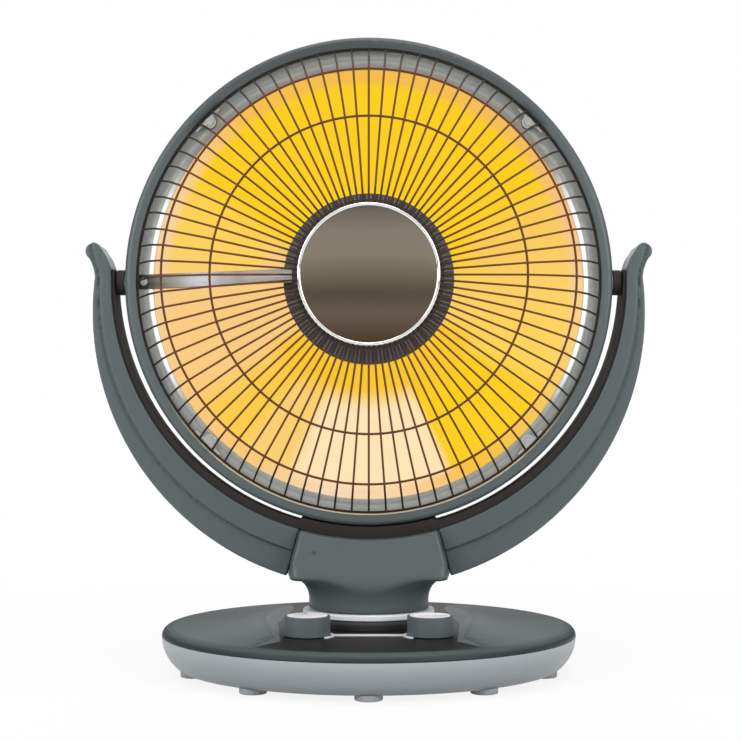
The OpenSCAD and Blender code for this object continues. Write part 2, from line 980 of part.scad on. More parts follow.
module yoke_screws() {
    color("#b8bbbe") {
        both_sides()
            for (p = [join_low, join_high])
                translate([p[0], 0, p[1]])
                    rotate([90, 0, 0])
                        screw(-join_depth - 2.2, join_screw_d + 3, 2.2, join_screw_d, join_screw_l);
        around(4, ledge_screw_r, 45)
            translate([0, 0, floor_z + floor_t + 0.05])
                mirror([0, 0, 1])
                    screw(-2, join_screw_d + 2, 2, join_screw_d, floor_t + ledge_t - 0.8);
        both_sides()
            translate([motor_ear_x, motor_y, motor_z + 1.6])
                mirror([0, 0, 1])
                    screw(-2, join_screw_d + 3, 2, join_screw_d, 8);
    }
}

// Outline of the right arm about the tilt axis, drawn in by an inset
module arm_shape(inset) {
    low = -pivot_z + neck_z;
    difference() {
        intersection() {
            translate([0, -arm_drop])
                circle(arm_outer_r - inset, $fn = 180);
            polygon([
                [shoulder_half + side_lean * (shoulder_y - low) + root_out + inset, low],
                [1.2 * arm_outer_r, low],
                [1.2 * arm_outer_r, 3.5 - inset], [0.8 * arm_r, 3.5 - inset],
                [crown_half - side_lean * 21 + root_out + inset, crown_y + 21]
            ]);
        }
        circle(arm_r + inset, $fn = 180);
    }
}

// Upswept tip of the right arm
module arm_tip_shape() {
    x_out = sqrt(pow(arm_outer_r, 2) - pow(arm_drop + 3.4, 2));
    x_top = x_out + 0.9;
    translate([x_top, tip_top - tip_round])
        circle(tip_round);
    polygon([
        [arm_r, 3.4], [x_out, 3.4], [x_out + 0.7, 9], [x_out + 3.3, 16],
        [x_top + tip_round - 0.2, tip_top - tip_round - 1.5],
        [x_top, tip_top - tip_round], [x_top - 5, tip_top - 2.4],
        [arm_r + 3.6, 19], [arm_r + 0.4, 11]
    ]);
}

// Outer edge of the raised bar, which follows the tip outwards
module bar_shape(grow) {
    translate([0, -bar_drop])
        circle(bar_r + grow, $fn = 180);
    polygon([
        [arm_r - 5, 0], [bar_r - 0.6 + grow, 0], [bar_r + 0.8 + grow, 9],
        [bar_r + 3.6 + grow, 16], [bar_r + 7 + grow, tip_top + past],
        [arm_r - 5, tip_top + past]
    ]);
}

module arm_front() {
    difference() {
        union() {
            translate([0, 0, split_f + seat])
                linear_extrude(flange_half - split_f - seat) {
                    arm_shape(0);
                    arm_tip_shape();
                }
            translate([0, 0, flange_half - 0.01])
                linear_extrude(arm_step)
                    intersection() {
                        union() {
                            arm_shape(0);
                            arm_tip_shape();
                        }
                        bar_shape(0);
                    }
            translate([0, 0, -4])
                linear_extrude(8)
                    polygon([
                        [shoulder_half - 12, shoulder_y + 7], [shoulder_half + 14, shoulder_y + 7],
                        [shoulder_half + 14, crown_y - 6], [crown_half - 6, crown_y - 6]
                    ]);
        }
        translate([0, 0, split_f - past])
            linear_extrude(flange_half - yoke_wall - split_f + past)
                arm_shape(yoke_wall);
        translate([0, 0, flange_half - 1.2])
            linear_extrude(arm_step + 1.3)
                difference() {
                    bar_shape(groove_w);
                    bar_shape(0);
                }
    }
}

// Bored boss in the arm that takes the bush of the tilt pin
module arm_pivot_boss() {
    difference() {
        children();
        rotate([0, 90, 0])
            cylinder(r = spigot_r + fit, h = arm_boss_end + past);
        translate([arm_r + yoke_wall, -boss_room, split_f - past])
            cube([arm_out_x - arm_r - 2 * yoke_wall, 2 * boss_room,
                flange_half - yoke_wall - split_f + past]);
    }
    rotate([0, 90, 0])
        tube(arm_r + 1, arm_boss_end, bush_r - 1, spigot_r + fit);
}

module arm_rear_cover() {
    translate([0, 0, -flange_half])
        linear_extrude(cover_t) {
            arm_shape(0);
            arm_tip_shape();
        }
    translate([0, 0, -arm_half])
        linear_extrude(arm_step + 0.01)
            intersection() {
                union() {
                    arm_shape(0);
                    arm_tip_shape();
                }
                bar_shape(0);
            }
}

module yoke_arm_right() {
    color("#4d5457")
        at_head()
            arm_pivot_boss()
                arm_front();
}

module yoke_arm_left() {
    color("#4d5457")
        at_head()
            mirror([1, 0, 0])
                arm_pivot_boss()
                    arm_front();
}

module arm_cover_right() {
    color("#4d5457")
        at_head()
            arm_rear_cover();
}

module arm_cover_left() {
    color("#4d5457")
        at_head()
            mirror([1, 0, 0])
                arm_rear_cover();
}

// Crescent that grows thicker downwards, and the pad that fills the middle of the gap
module liner_shape() {
    outer_r = liner_r + liner_t;
    difference() {
        circle(outer_r, $fn = 180);
        translate([0, liner_rise])
            circle(liner_r, $fn = 180);
    }
    intersection() {
        difference() {
            circle(outer_r, $fn = 180);
            circle(liner_pad_r, $fn = 180);
        }
        translate([-crown_half, -arm_r])
            square([2 * crown_half, arm_r]);
    }
}

module yoke_liner() {
    color("#2e2a29")
        at_head()
            difference() {
                linear_extrude(2 * liner_half, center = true)
                    liner_shape();
                translate([-2 * arm_r, liner_end, -arm_deep])
                    cube([4 * arm_r, 2 * arm_r, 2 * arm_deep]);
                rotate([0, 90, 0])
                    cylinder(r = spigot_r + fit, h = 3 * arm_r, center = true);
            }
}

module pivot_bushes() {
    inner_x = ring_r + 0.6;
    color("#2e2a29")
        at_head()
            both_sides()
                rotate([0, 90, 0])
                    difference() {
                        union() {
                            pin_from(inner_x, liner_r - 0.8, 2 * bush_r);
                            pin_from(liner_r - 0.9, arm_boss_end - 0.6, 2 * spigot_r);
                        }
                        pin_from(inner_x - past, arm_boss_end + past, pin_d + 2 * fit);
                    }
}

module pivot_pins() {
    color("#b8bbbe")
        at_head()
            both_sides()
                rotate([0, 90, 0]) {
                    pin_from(pin_in, arm_boss_end + 0.2, pin_d);
                    pin_from(arm_boss_end + 0.1, arm_boss_end + 0.1 + pin_head_t, 2 * pin_head_r);
                }
}

module pivot_nuts() {
    outer_x = ring_r - ring_wall - 0.3;
    color("#b8bbbe")
        at_head()
            both_sides()
                rotate([0, 90, 0])
                    difference() {
                        translate([0, 0, outer_x - nut_t])
                            cylinder(r = nut_r, h = nut_t, $fn = 6);
                        pin_from(outer_x - nut_t - past, outer_x + past, pin_d + 2 * fit);
                    }
}

module friction_washers() {
    color("#d6d2c4")
        at_head()
            both_sides()
                rotate([0, 90, 0])
                    tube(ring_r + 0.1, ring_r + 0.5, bush_r - 1, pin_r + fit);
}

module swing_motor() {
    color("#c4c6c8")
        translate([0, motor_y, 0])
            difference() {
                union() {
                    pin_from(motor_z, motor_z + motor_h, 2 * motor_r);
                    translate([-motor_ear_x - 4, -5, motor_z])
                        cube([2 * motor_ear_x + 8, 10, 1.5]);
                }
                pin_from(motor_z - past, motor_z + 8, 6.1);
                both_sides()
                    translate([motor_ear_x, 0, 0])
                        pin_from(motor_z - past, motor_z + 1.6, join_screw_d + 0.4);
            }
}

module motor_shaft() {
    color("#b8bbbe")
        translate([0, motor_y, 0])
            pin_from(crank_z, motor_z + 7.5, 6);
}

module crank_disc() {
    color("#e6e6e0")
        translate([0, motor_y, 0])
            difference() {
                union() {
                    pin_from(crank_z, crank_z + crank_t, 2 * crank_disc_r);
                    translate([0, crank_r, 0])
                        pin_from(crank_pin_z, crank_z + 0.01, crank_pin_d);
                }
                pin_from(crank_z - past, crank_z + crank_t + past, 6 + 2 * fit);
            }
}

// Channel section of the hoop: outer wall, rounded front face and inner return
module hoop_section() {
    return_back = flange_f + 0.9;
    difference() {
        union() {
            translate([lip_r, ring_back])
                square([ring_face, ring_deep - ring_round]);
            translate([lip_r, ring_back])
                square([ring_face - ring_round, ring_deep]);
            translate([ring_r - ring_round, ring_front - ring_round])
                circle(ring_round);
        }
        translate([lip_r - past, ring_back - past])
            square([ring_face - ring_wall + past, ring_deep - (ring_front - return_back) + past]);
        translate([lip_r + 1.8, ring_back])
            square([ring_face - ring_wall - 1.8, ring_deep - ring_round]);
        intersection() {
            translate([lip_r + 1.8, ring_front - ring_round])
                square([ring_face - ring_wall - 1.8, ring_round - ring_wall]);
            union() {
                translate([ring_r - ring_round, ring_front - ring_round])
                    circle(ring_round - ring_wall);
                translate([lip_r, ring_front - ring_round])
                    square([ring_face - ring_round, ring_round]);
            }
        }
    }
}

module front_ring() {
    tab_w = 10.4;
    color("#596164")
        at_head()
            difference() {
                union() {
                    rotate_extrude($fn = 180)
                        hoop_section();
                    intersection() {
                        around(4, clip_screw_r, 45) {
                            translate([0, -tab_w / 2, flange_f + 0.05])
                                cube([ring_r - clip_screw_r, tab_w, tab_t]);
                            pin_from(flange_f + 0.05, flange_f + 0.05 + tab_t, tab_w);
                            pin_from(flange_f + 0.1, clip_f, 2 * clip_boss_r);
                        }
                        pin_from(-past, ring_front, 2 * (ring_r - ring_wall / 2));
                    }
                }
                around(4, clip_screw_r, 45)
                    pin_from(flange_f - past, clip_f + past, clip_screw_d + 2 * fit);
                rotate([0, 90, 0])
                    cylinder(r = pin_r + fit, h = 3 * ring_r, center = true);
            }
}

function dish_f(r) = dish_floor_f + dish_deep * pow((r - dish_flat_r) / (dish_r - dish_flat_r), 2);

// Room round the nuts of the tilt pins
module pivot_notches() {
    both_sides()
        translate([notch_r, -notch_half, -notch_half])
            cube([ring_r, 2 * notch_half, 2 * notch_half]);
}

module reflector() {
    steps = 20;
    radii = [for (i = [0 : steps]) dish_flat_r + (dish_r - dish_flat_r) * i / steps];
    front = [for (r = radii) [r, dish_f(r)]];
    back = [for (i = [steps : -1 : 0]) [radii[i], dish_f(radii[i]) - dish_t]];
    color("#e8c98a")
        at_head()
            difference() {
                rotate_extrude($fn = 180)
                    polygon(concat(
                        [[dish_hole_r, dish_floor_f]], front,
                        [[housing_r - 0.6, flange_f], [housing_r - 0.6, flange_back]], back,
                        [[dish_hole_r, dish_floor_f - dish_t]]
                    ));
                around(4, clip_screw_r, 45)
                    pin_from(flange_back - past, flange_f + past, clip_screw_d + 0.4);
                around(3, stem_flange_r - 4, 90)
                    pin_from(dish_floor_f - 2, dish_floor_f + past, clip_screw_d + 0.4);
                rotate(180)
                    translate([conduit_out_r + conduit_tab / 2, 0, 0])
                        pin_from(flange_back - past, flange_f + past, clip_screw_d + 2 * fit);
                pivot_notches();
            }
}

// Side view of the rear housing: an elliptic dome behind the straight rim
function dome(inset) = [for (a = [0 : 5 : 90]) [
    housing_flat_r + (housing_r - housing_flat_r - inset) * cos(a),
    ring_back - (housing_deep + ring_back - inset) * sin(a)
]];

module rear_housing() {
    rim_f = flange_back - seat;
    flange_in_r = dish_r + 1.2;
    slot_in = 62;
    slot_out = housing_r - 55.1;
    color("#43494c")
        at_head()
            difference() {
                rotate_extrude($fn = 180)
                    polygon(concat(
                        [[flange_in_r, rim_f], [housing_r, rim_f]], dome(0),
                        [[0, -housing_deep], [0, ring_wall - housing_deep]],
                        [for (i = [18 : -1 : 0]) dome(ring_wall)[i]],
                        [[housing_r - ring_wall, rim_f - seat_flange_t],
                            [flange_in_r, rim_f - seat_flange_t]]
                    ));
                for (i = [0 : vent_count - 1])
                    rotate(360 * i / vent_count)
                        translate([slot_in, -vent_w / 2, -housing_deep - past])
                            cube([slot_out - slot_in, vent_w, housing_deep / 2]);
                around(4, clip_screw_r, 45)
                    pin_from(-6, 6, clip_screw_d + 2 * fit);
                rotate(180)
                    translate([conduit_out_r + conduit_tab / 2, 0, 0])
                        pin_from(-6, 6, clip_screw_d + 2 * fit);
                translate([0, 0, -past])
                    pivot_notches();
            }
}

wire_path = [
    [rim_wire_r - 0.2, wire_start_f], [bend_r, bend_f], [outer_wire_r, outer_wire_f],
    [middle_wire_r, middle_wire_f], [disc_r, hub_wire_f - 0.4], [disc_r - 2.6, hub_wire_f]
];
wire_sides = 6;

// Direction in which a section of the wire faces: along the mean of its two legs
function leg(i) = wire_path[i + 1] - wire_path[i];
function unit(v) = v / norm(v);
function facing(i) = i == 0 ? unit(leg(0)) :
    i == len(wire_path) - 1 ? unit(leg(i - 1)) : unit(unit(leg(i - 1)) + unit(leg(i)));
function wire_ring(i, turn) = [for (k = [0 : wire_sides - 1])
    let (a = 360 * k / wire_sides,
        side = wire_r * cos(a),
        up = wire_r * sin(a),
        r = wire_path[i][0] - facing(i)[1] * up,
        f = wire_path[i][1] + facing(i)[0] * up)
    [r * cos(turn) - side * sin(turn), r * sin(turn) + side * cos(turn), f]];

module grille_wires() {
    rings = len(wire_path);
    per_wire = rings * wire_sides;
    points = [for (w = [0 : wire_count - 1]) for (i = [0 : rings - 1])
        each wire_ring(i, 360 * w / wire_count)];
    faces = [for (w = [0 : wire_count - 1]) let (base = w * per_wire) each concat(
        [[for (k = [0 : wire_sides - 1]) base + k]],
        [[for (k = [wire_sides - 1 : -1 : 0]) base + (rings - 1) * wire_sides + k]],
        [for (i = [0 : rings - 2]) for (k = [0 : wire_sides - 1])
            let (n = (k + 1) % wire_sides, a = base + i * wire_sides)
            [a + k, a + wire_sides + k, a + wire_sides + n, a + n]]
    )];
    color("#54402c")
        at_head()
            polyhedron(points, faces);
}

module wire_hoop(r, f) {
    rotate_extrude($fn = 180)
        translate([r, f])
            circle(d = ring_wire_d, $fn = 24);
}

module grille_rings() {
    under = wire_r + ring_wire_d / 2 + 0.12;
    color("#54402c")
        at_head() {
            wire_hoop(rim_wire_r, rim_wire_f);
            wire_hoop(outer_wire_r - 1.1, outer_wire_f - under);
            wire_hoop(middle_wire_r, middle_wire_f - under);
        }
}

module grille_hub() {
    color("#8a8c8c")
        at_head()
            difference() {
                pin_from(hub_plate_f, hub_plate_f + hub_plate_t, 2 * hub_plate_r);
                pin_from(hub_plate_f - past, hub_plate_f + past + hub_plate_t, clip_screw_d + 0.4);
                around(8, hub_plate_r / 2, 0)
                    pin_from(hub_plate_f - past, hub_plate_f + past + hub_plate_t, 14);
            }
}

module guard_clips() {
    bar_l = 26;
    bar_w = 5;
    tab_w = 10;
    bar_mid = rim_wire_r - 0.6;
    color("#d3d5d6")
        at_head()
            difference() {
                intersection() {
                    around(4, 0, 45) {
                        translate([bar_mid - bar_w / 2, -bar_l / 2, clip_f])
                            cube([bar_w, bar_l, clip_plate_t]);
                        translate([clip_screw_r, -tab_w / 2, clip_f])
                            cube([bar_mid - clip_screw_r, tab_w, clip_plate_t]);
                        translate([clip_screw_r, 0, 0])
                            pin_from(clip_f, clip_f + clip_plate_t, tab_w);
                    }
                    pin_from(0, 2 * clip_f, 2 * lip_r - 0.6);
                }
                around(4, clip_screw_r, 45)
                    pin_from(clip_f - past, clip_f + 2 * past, clip_screw_d + 0.4);
            }
}

// Pan-head screw that points back into the head, with its head's underside at f
module head_screw(f, shank_l) {
    translate([0, 0, f])
        mirror([0, 0, 1])
            screw(-2, clip_screw_d + 3, 2, clip_screw_d, shank_l);
}

module head_screws() {
    color("#c6c8ca")
        at_head() {
            around(4, clip_screw_r, 45)
                head_screw(clip_f + clip_plate_t + 0.05, 14);
            rotate(180)
                translate([conduit_out_r + conduit_tab / 2, 0, 0])
                    head_screw(flange_f + conduit_wall + 0.1, 6);
            around(3, stem_flange_r - 4, 90) {
                head_screw(dish_floor_f + stem_flange_t + 0.1, 8);
                tube(dish_floor_f - dish_t - 2.6, dish_floor_f - dish_t - 0.05,
                    clip_screw_d + 0.2, clip_screw_d / 2);
            }
            translate([0, 0, hub_plate_f - 0.05])
                screw(-2, clip_screw_d + 4, 2, clip_screw_d, 4.6);
        }
}

module centre_disc() {
    r = disc_r - disc_rim_w;
    globe_r = (pow(r, 2) + pow(disc_dome, 2)) / (2 * disc_dome);
    color("#5d5751")
        at_head()
            difference() {
                union() {
                    rotate_extrude($fn = 180)
                        intersection() {
                            translate([0, disc_f + disc_seat_t + disc_dome - globe_r])
                                circle(globe_r, $fn = 720);
                            translate([0, disc_f])
                                square([r, disc_seat_t + 2 * disc_dome]);
                        }
                    pin_from(hub_plate_f + hub_plate_t + 0.05, disc_f + 0.5, 12);
                }
                pin_from(hub_plate_f, disc_f + 1.8, clip_screw_d + 2 * fit);
            }
}

module disc_rim() {
    inner = disc_r - disc_rim_w + 0.05;
    color("#d9dcde")
        at_head()
            rotate_extrude($fn = 180)
                difference() {
                    union() {
                        translate([inner, disc_f])
                            square([disc_r - inner, 1.4]);
                        translate([(inner + disc_r) / 2, disc_f + 1.4])
                            circle((disc_r - inner) / 2);
                    }
                    translate([inner, disc_f - past])
                        square([disc_r, past]);
                }
}

module hub_shroud() {
    skin = 1.2;
    color("#57514b")
        at_head()
            difference() {
                pin_from(shroud_f - shroud_deep, shroud_f, 2 * shroud_r);
                pin_from(shroud_f - shroud_deep - past, shroud_f - skin, 2 * (shroud_r - skin));
                pin_from(shroud_f - 2 * skin, shroud_f + past, 2 * (stem_r - stem_wall) - 1);
            }
}

module halogen_tube() {
    color("#f6e3b0")
        at_head()
            rotate(tube_gap - 90)
                rotate_extrude(angle = tube_arc)
                    translate([tube_ring_r, lamp_f])
                        difference() {
                            circle(d = tube_d, $fn = 48);
                            circle(d = tube_d - 2.4, $fn = 48);
                        }
}

module filament() {
    color("#ff9a2e")
        at_head()
            rotate(tube_gap - 93)
                rotate_extrude(angle = tube_arc + 6)
                    translate([tube_ring_r, lamp_f])
                        circle(d = filament_d, $fn = 32);
}

// Ceramic holders of the tube's ends, carried by brackets on the stem
module tube_end_caps() {
    cap_l = 9;
    color("#ece9e0")
        at_head()
            both_sides()
                rotate(tube_gap - 90)
                    translate([tube_ring_r, 0, lamp_f])
                        rotate([90, 0, 0])
                            difference() {
                                cylinder(d = tube_d + 3, h = cap_l);
                                translate([0, 0, -past])
                                    cylinder(d = filament_d + 0.6, h = cap_l + 2 * past);
                            }
}

module lamp_bracket() {
    rear = dish_floor_f + 0.05;
    leaf_f = lamp_f - tube_d / 2 - 2.9;
    color("#9a9c9c")
        at_head() {
            difference() {
                union() {
                    pin_from(rear, shroud_f - 1.3, 2 * stem_r);
                    pin_from(rear, rear + stem_flange_t, 2 * stem_flange_r);
                }
                pin_from(rear - past, shroud_f, 2 * (stem_r - stem_wall));
                around(3, stem_flange_r - 4, 90)
                    pin_from(rear - past, rear + 3, clip_screw_d + 0.4);
            }
            both_sides()
                rotate(tube_gap - 90)
                    translate([stem_r - 0.6, -8, leaf_f])
                        cube([tube_ring_r - stem_r + 6, 7, 1.2]);
            around(3, 0, 90)
                translate([stem_r - 0.6, -3, leaf_f])
                    cube([tube_ring_r - stem_r + 2, 6, 1.2]);
        }
}

// Formed strip that covers the lead from the hoop to the middle, open towards the dish
module wire_conduit() {
    bottom_f = flange_f + fit;
    in_f = hub_plate_f - 6.5;
    drop = in_f - bottom_f + 1.2;
    run = conduit_out_r - conduit_in_r;
    slope = atan2(drop, run);
    long = norm([run, drop]);
    solid_l = 9;
    color("#c9cbcb")
        at_head()
            rotate(180)
                difference() {
                    union() {
                        translate([conduit_in_r, 0, in_f])
                            rotate([0, slope, 0])
                                difference() {
                                    linear_extrude(conduit_t)
                                        polygon([
                                            [0, -conduit_end_w / 2], [long, -conduit_w / 2],
                                            [long, conduit_w / 2], [0, conduit_end_w / 2]
                                        ]);
                                    translate([-past, conduit_wall - conduit_end_w / 2, -past])
                                        cube([long - solid_l, conduit_end_w - 2 * conduit_wall,
                                            conduit_t - conduit_wall + past]);
                                }
                        translate([conduit_out_r - 3, -conduit_w / 2, bottom_f])
                            cube([conduit_tab + 2, conduit_w, conduit_wall]);
                    }
                    translate([0, -conduit_w, bottom_f - 10])
                        cube([2 * conduit_out_r, 2 * conduit_w, 10]);
                    translate([conduit_out_r + conduit_tab / 2, 0, 0])
                        pin_from(flange_f - past, flange_f + 3, clip_screw_d + 0.4);
                }
}

// Bimetal cut-out on the back of the dish
module thermal_cutout() {
    at_r = 96;
    lean = atan2(dish_f(at_r + 1) - dish_f(at_r - 1), 2);
    color("#2b2b2b")
        at_head()
            translate([0, at_r, dish_f(at_r) - dish_t - 0.75])
                rotate([lean, 0, 0]) {
                    pin_from(-8, 0, 16);
                    translate([-12, -3.5, -1])
                        cube([24, 7, 1]);
                }
}

base_pan();
base_cover();
feet();
base_screws();
plinth();
collar_ring();
deck_trim();
swivel_post();
thrust_washer();
retaining_clip();
slotted_arm();
timer_module();
power_switch();
tip_switch_housing();
tip_spring();
tip_plunger();
cord_gland();
terminal_block();
ballast_plate();
timer_knob();
timer_knob_cap();
timer_shaft();
power_knob();
power_knob_cap();
power_shaft();
neck_front();
neck_rear();
neck_floor();
swivel_bush();
yoke_screws();
yoke_arm_left();
yoke_arm_right();
arm_cover_left();
arm_cover_right();
yoke_liner();
pivot_bushes();
pivot_pins();
pivot_nuts();
friction_washers();
swing_motor();
motor_shaft();
crank_disc();
front_ring();
rear_housing();
reflector();
grille_wires();
grille_rings();
grille_hub();
guard_clips();
head_screws();
centre_disc();
disc_rim();
hub_shroud();
halogen_tube();
filament();
tube_end_caps();
lamp_bracket();
wire_conduit();
thermal_cutout();
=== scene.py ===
"""Looks of a radiant dish heater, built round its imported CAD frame."""

import json
import math

import bmesh
import bpy
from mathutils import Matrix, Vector


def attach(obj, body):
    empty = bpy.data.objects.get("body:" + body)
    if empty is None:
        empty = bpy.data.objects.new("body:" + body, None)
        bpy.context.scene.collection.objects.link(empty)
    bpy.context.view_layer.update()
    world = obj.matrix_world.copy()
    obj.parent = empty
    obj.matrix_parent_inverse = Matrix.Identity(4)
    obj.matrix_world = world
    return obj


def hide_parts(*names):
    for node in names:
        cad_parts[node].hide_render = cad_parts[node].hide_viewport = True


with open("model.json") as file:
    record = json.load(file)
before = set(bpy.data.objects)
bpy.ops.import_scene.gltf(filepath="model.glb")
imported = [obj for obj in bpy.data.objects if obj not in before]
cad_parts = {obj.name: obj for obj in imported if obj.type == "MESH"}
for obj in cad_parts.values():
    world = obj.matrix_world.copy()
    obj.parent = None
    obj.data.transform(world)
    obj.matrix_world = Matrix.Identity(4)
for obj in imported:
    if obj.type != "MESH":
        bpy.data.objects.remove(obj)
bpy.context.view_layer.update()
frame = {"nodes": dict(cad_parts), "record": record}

# --- Studio ---------------------------------------------------------------------------
# A pale floor under soft lamps at the left, the right, above and behind. Cameras and glass
# see plain white round it; mirrors see grey surroundings with a darker backdrop.


def link(thing):
    """Puts an object into the scene."""
    bpy.context.scene.collection.objects.link(thing)
    return thing


def srgb(text):
    """A colour written as sRGB hex, as linear red, green, blue and alpha."""
    parts = [int(text[i:i + 2], 16) / 255 for i in (1, 3, 5)]
    return [c / 12.92 if c <= 0.04045 else ((c + 0.055) / 1.055) ** 2.4 for c in parts] + [1.0]


def add(tree, kind, inputs=None, **settings):
    """Adds a node with its settings; an input is a value or the socket that feeds it."""
    made = tree.nodes.new(kind)
    for name, value in settings.items():
        setattr(made, name, value)
    for key, value in (inputs or {}).items():
        if isinstance(value, bpy.types.NodeSocket):
            tree.links.new(value, made.inputs[key])
        else:
            made.inputs[key].default_value = value
    return made


def marked(band, stops, interpolation="LINEAR"):
    """Sets a colour ramp's marks from rising (place, hex) pairs, and gives its colour."""
    band.color_ramp.interpolation = interpolation
    marks = band.color_ramp.elements
    while len(marks) < len(stops):
        marks.new(0.5)
    for mark, (place, _) in zip(marks, stops):
        mark.position = place
    for mark, (_, colour) in zip(marks, stops):
        mark.color = srgb(colour)
    return band.outputs["Color"]


camera = link(bpy.data.objects.new("camera", bpy.data.cameras.new("camera")))
camera.location = (0.0013, -1.150, 0.184)
camera.rotation_euler.x = math.radians(90)
camera.data.lens = 70.46
camera.data.shift_y = 0.088
bpy.context.scene.camera = camera
bpy.context.scene.view_settings.view_transform = "Standard"

AIM = Vector((0, 0, 0.22))
LAMPS = [
    ("left_softbox", (-1.5, -1.5, 1.0), 1.3, 19),
    ("right_softbox", (1.5, -1.5, 1.0), 1.3, 18),
    ("overhead_softbox", (0, -0.3, 1.9), 1.4, 11),
    ("rear_softbox", (0, 1.8, 1.2), 1.4, 8),
]
for name, place, size, watts in LAMPS:
    lamp = link(bpy.data.objects.new(name, bpy.data.lights.new(name, "AREA")))
    lamp.location = place
    lamp.rotation_euler = (AIM - lamp.location).to_track_quat("-Z", "Y").to_euler()
    lamp.data.shape = "DISK"
    lamp.data.size = size
    lamp.data.energy = watts

world = bpy.data.worlds.new("white_studio")
bpy.context.scene.world = world
world.use_nodes = True
tree = world.node_tree
tree.nodes.clear()
ray = add(tree, "ShaderNodeLightPath")
seen = add(tree, "ShaderNodeMath", {0: ray.outputs["Is Camera Ray"],
                                    1: ray.outputs["Is Transmission Ray"]}, operation="MAXIMUM")
looking = add(tree, "ShaderNodeSeparateXYZ",
              {"Vector": add(tree, "ShaderNodeTexCoord").outputs["Generated"]})
height = add(tree, "ShaderNodeMapRange", {"Value": looking.outputs["Z"], "From Min": -0.35,
                                          "From Max": 0.75})
mirrored = marked(add(tree, "ShaderNodeValToRGB", {"Fac": height.outputs["Result"]}), [
    (0.0, "#7d7a77"), (0.17, "#6b5f58"), (0.40, "#aeaca4"), (0.48, "#cfcdc6"),
    (0.66, "#dedcd6"), (1.0, "#ffffff")])
behind = add(tree, "ShaderNodeMapRange", {"Value": looking.outputs["Y"], "From Min": -0.3,
                                          "From Max": 0.5}, interpolation_type="SMOOTHSTEP")
low = add(tree, "ShaderNodeMapRange", {"Value": looking.outputs["Z"], "From Min": 0.2,
                                       "From Max": 0.6, "To Min": 1.0, "To Max": 0.0},
          interpolation_type="SMOOTHSTEP")
backdrop = add(tree, "ShaderNodeMath", {0: behind.outputs[0], 1: low.outputs[0]},
               operation="MULTIPLY")
around = add(tree, "ShaderNodeMix", {0: backdrop.outputs[0], 6: mirrored, 7: srgb("#3a3a3a")},
             data_type="RGBA")
light = add(tree, "ShaderNodeBackground", {"Color": srgb("#ffffff"), "Strength": 0.50})
mirror_light = add(tree, "ShaderNodeBackground", {"Color": around.outputs[2], "Strength": 1.0})
white = add(tree, "ShaderNodeBackground", {"Color": srgb("#ffffff"), "Strength": 1.0})
soft = add(tree, "ShaderNodeMixShader", {0: ray.outputs["Is Glossy Ray"],
                                         1: light.outputs[0], 2: mirror_light.outputs[0]})
shown = add(tree, "ShaderNodeMixShader", {0: seen.outputs[0], 1: soft.outputs[0],
                                          2: white.outputs[0]})
add(tree, "ShaderNodeOutputWorld", {"Surface": shown.outputs[0]})

floor_mesh = bpy.data.meshes.new("floor")
floor_mesh.from_pydata([(-9, -9, 0), (9, -9, 0), (9, 9, 0), (-9, 9, 0)], [], [(0, 1, 2, 3)])
floor = link(bpy.data.objects.new("floor", floor_mesh))
paper = bpy.data.materials.new("white_paper_floor")
paper.use_nodes = True
tree = paper.node_tree
tree.nodes.remove(tree.nodes["Principled BSDF"])
ray = add(tree, "ShaderNodeLightPath")
seen = add(tree, "ShaderNodeMath", {0: ray.outputs["Is Camera Ray"],
                                    1: ray.outputs["Is Glossy Ray"]}, operation="MAXIMUM")
spot = add(tree, "ShaderNodeTexCoord").outputs["Object"]
far = add(tree, "ShaderNodeVectorMath", {0: spot}, operation="LENGTH")
whiter = add(tree, "ShaderNodeMapRange", {"Value": far.outputs["Value"], "From Min": 0.2,
                                          "From Max": 0.8, "To Min": 0.86, "To Max": 1.0},
             interpolation_type="SMOOTHSTEP")
share = add(tree, "ShaderNodeMath", {0: seen.outputs[0], 1: whiter.outputs[0]},
            operation="MULTIPLY")
matt = add(tree, "ShaderNodeBsdfDiffuse", {"Color": srgb("#f4f4f4")})
bright = add(tree, "ShaderNodeEmission", {"Color": srgb("#ffffff"), "Strength": 1.0})
mixed = add(tree, "ShaderNodeMixShader", {0: share.outputs[0], 1: matt.outputs[0],
                                          2: bright.outputs[0]})
tree.links.new(mixed.outputs[0], tree.nodes["Material Output"].inputs["Surface"])
floor_mesh.materials.append(paper)

# --- Base pan -------------------------------------------------------------------------
# The round bowl that everything stands in: injection moulded ABS, sprayed silver grey.
# Fine metal flakes in the paint give a satin look. The side is painted darker towards the
# bottom and paler towards the top edge, painted shade that follows the rounded side.

MM = 0.001
BODY_OF = {n: body for body, nodes in frame["record"]["behaviour"]["bodies"].items() for n in nodes}


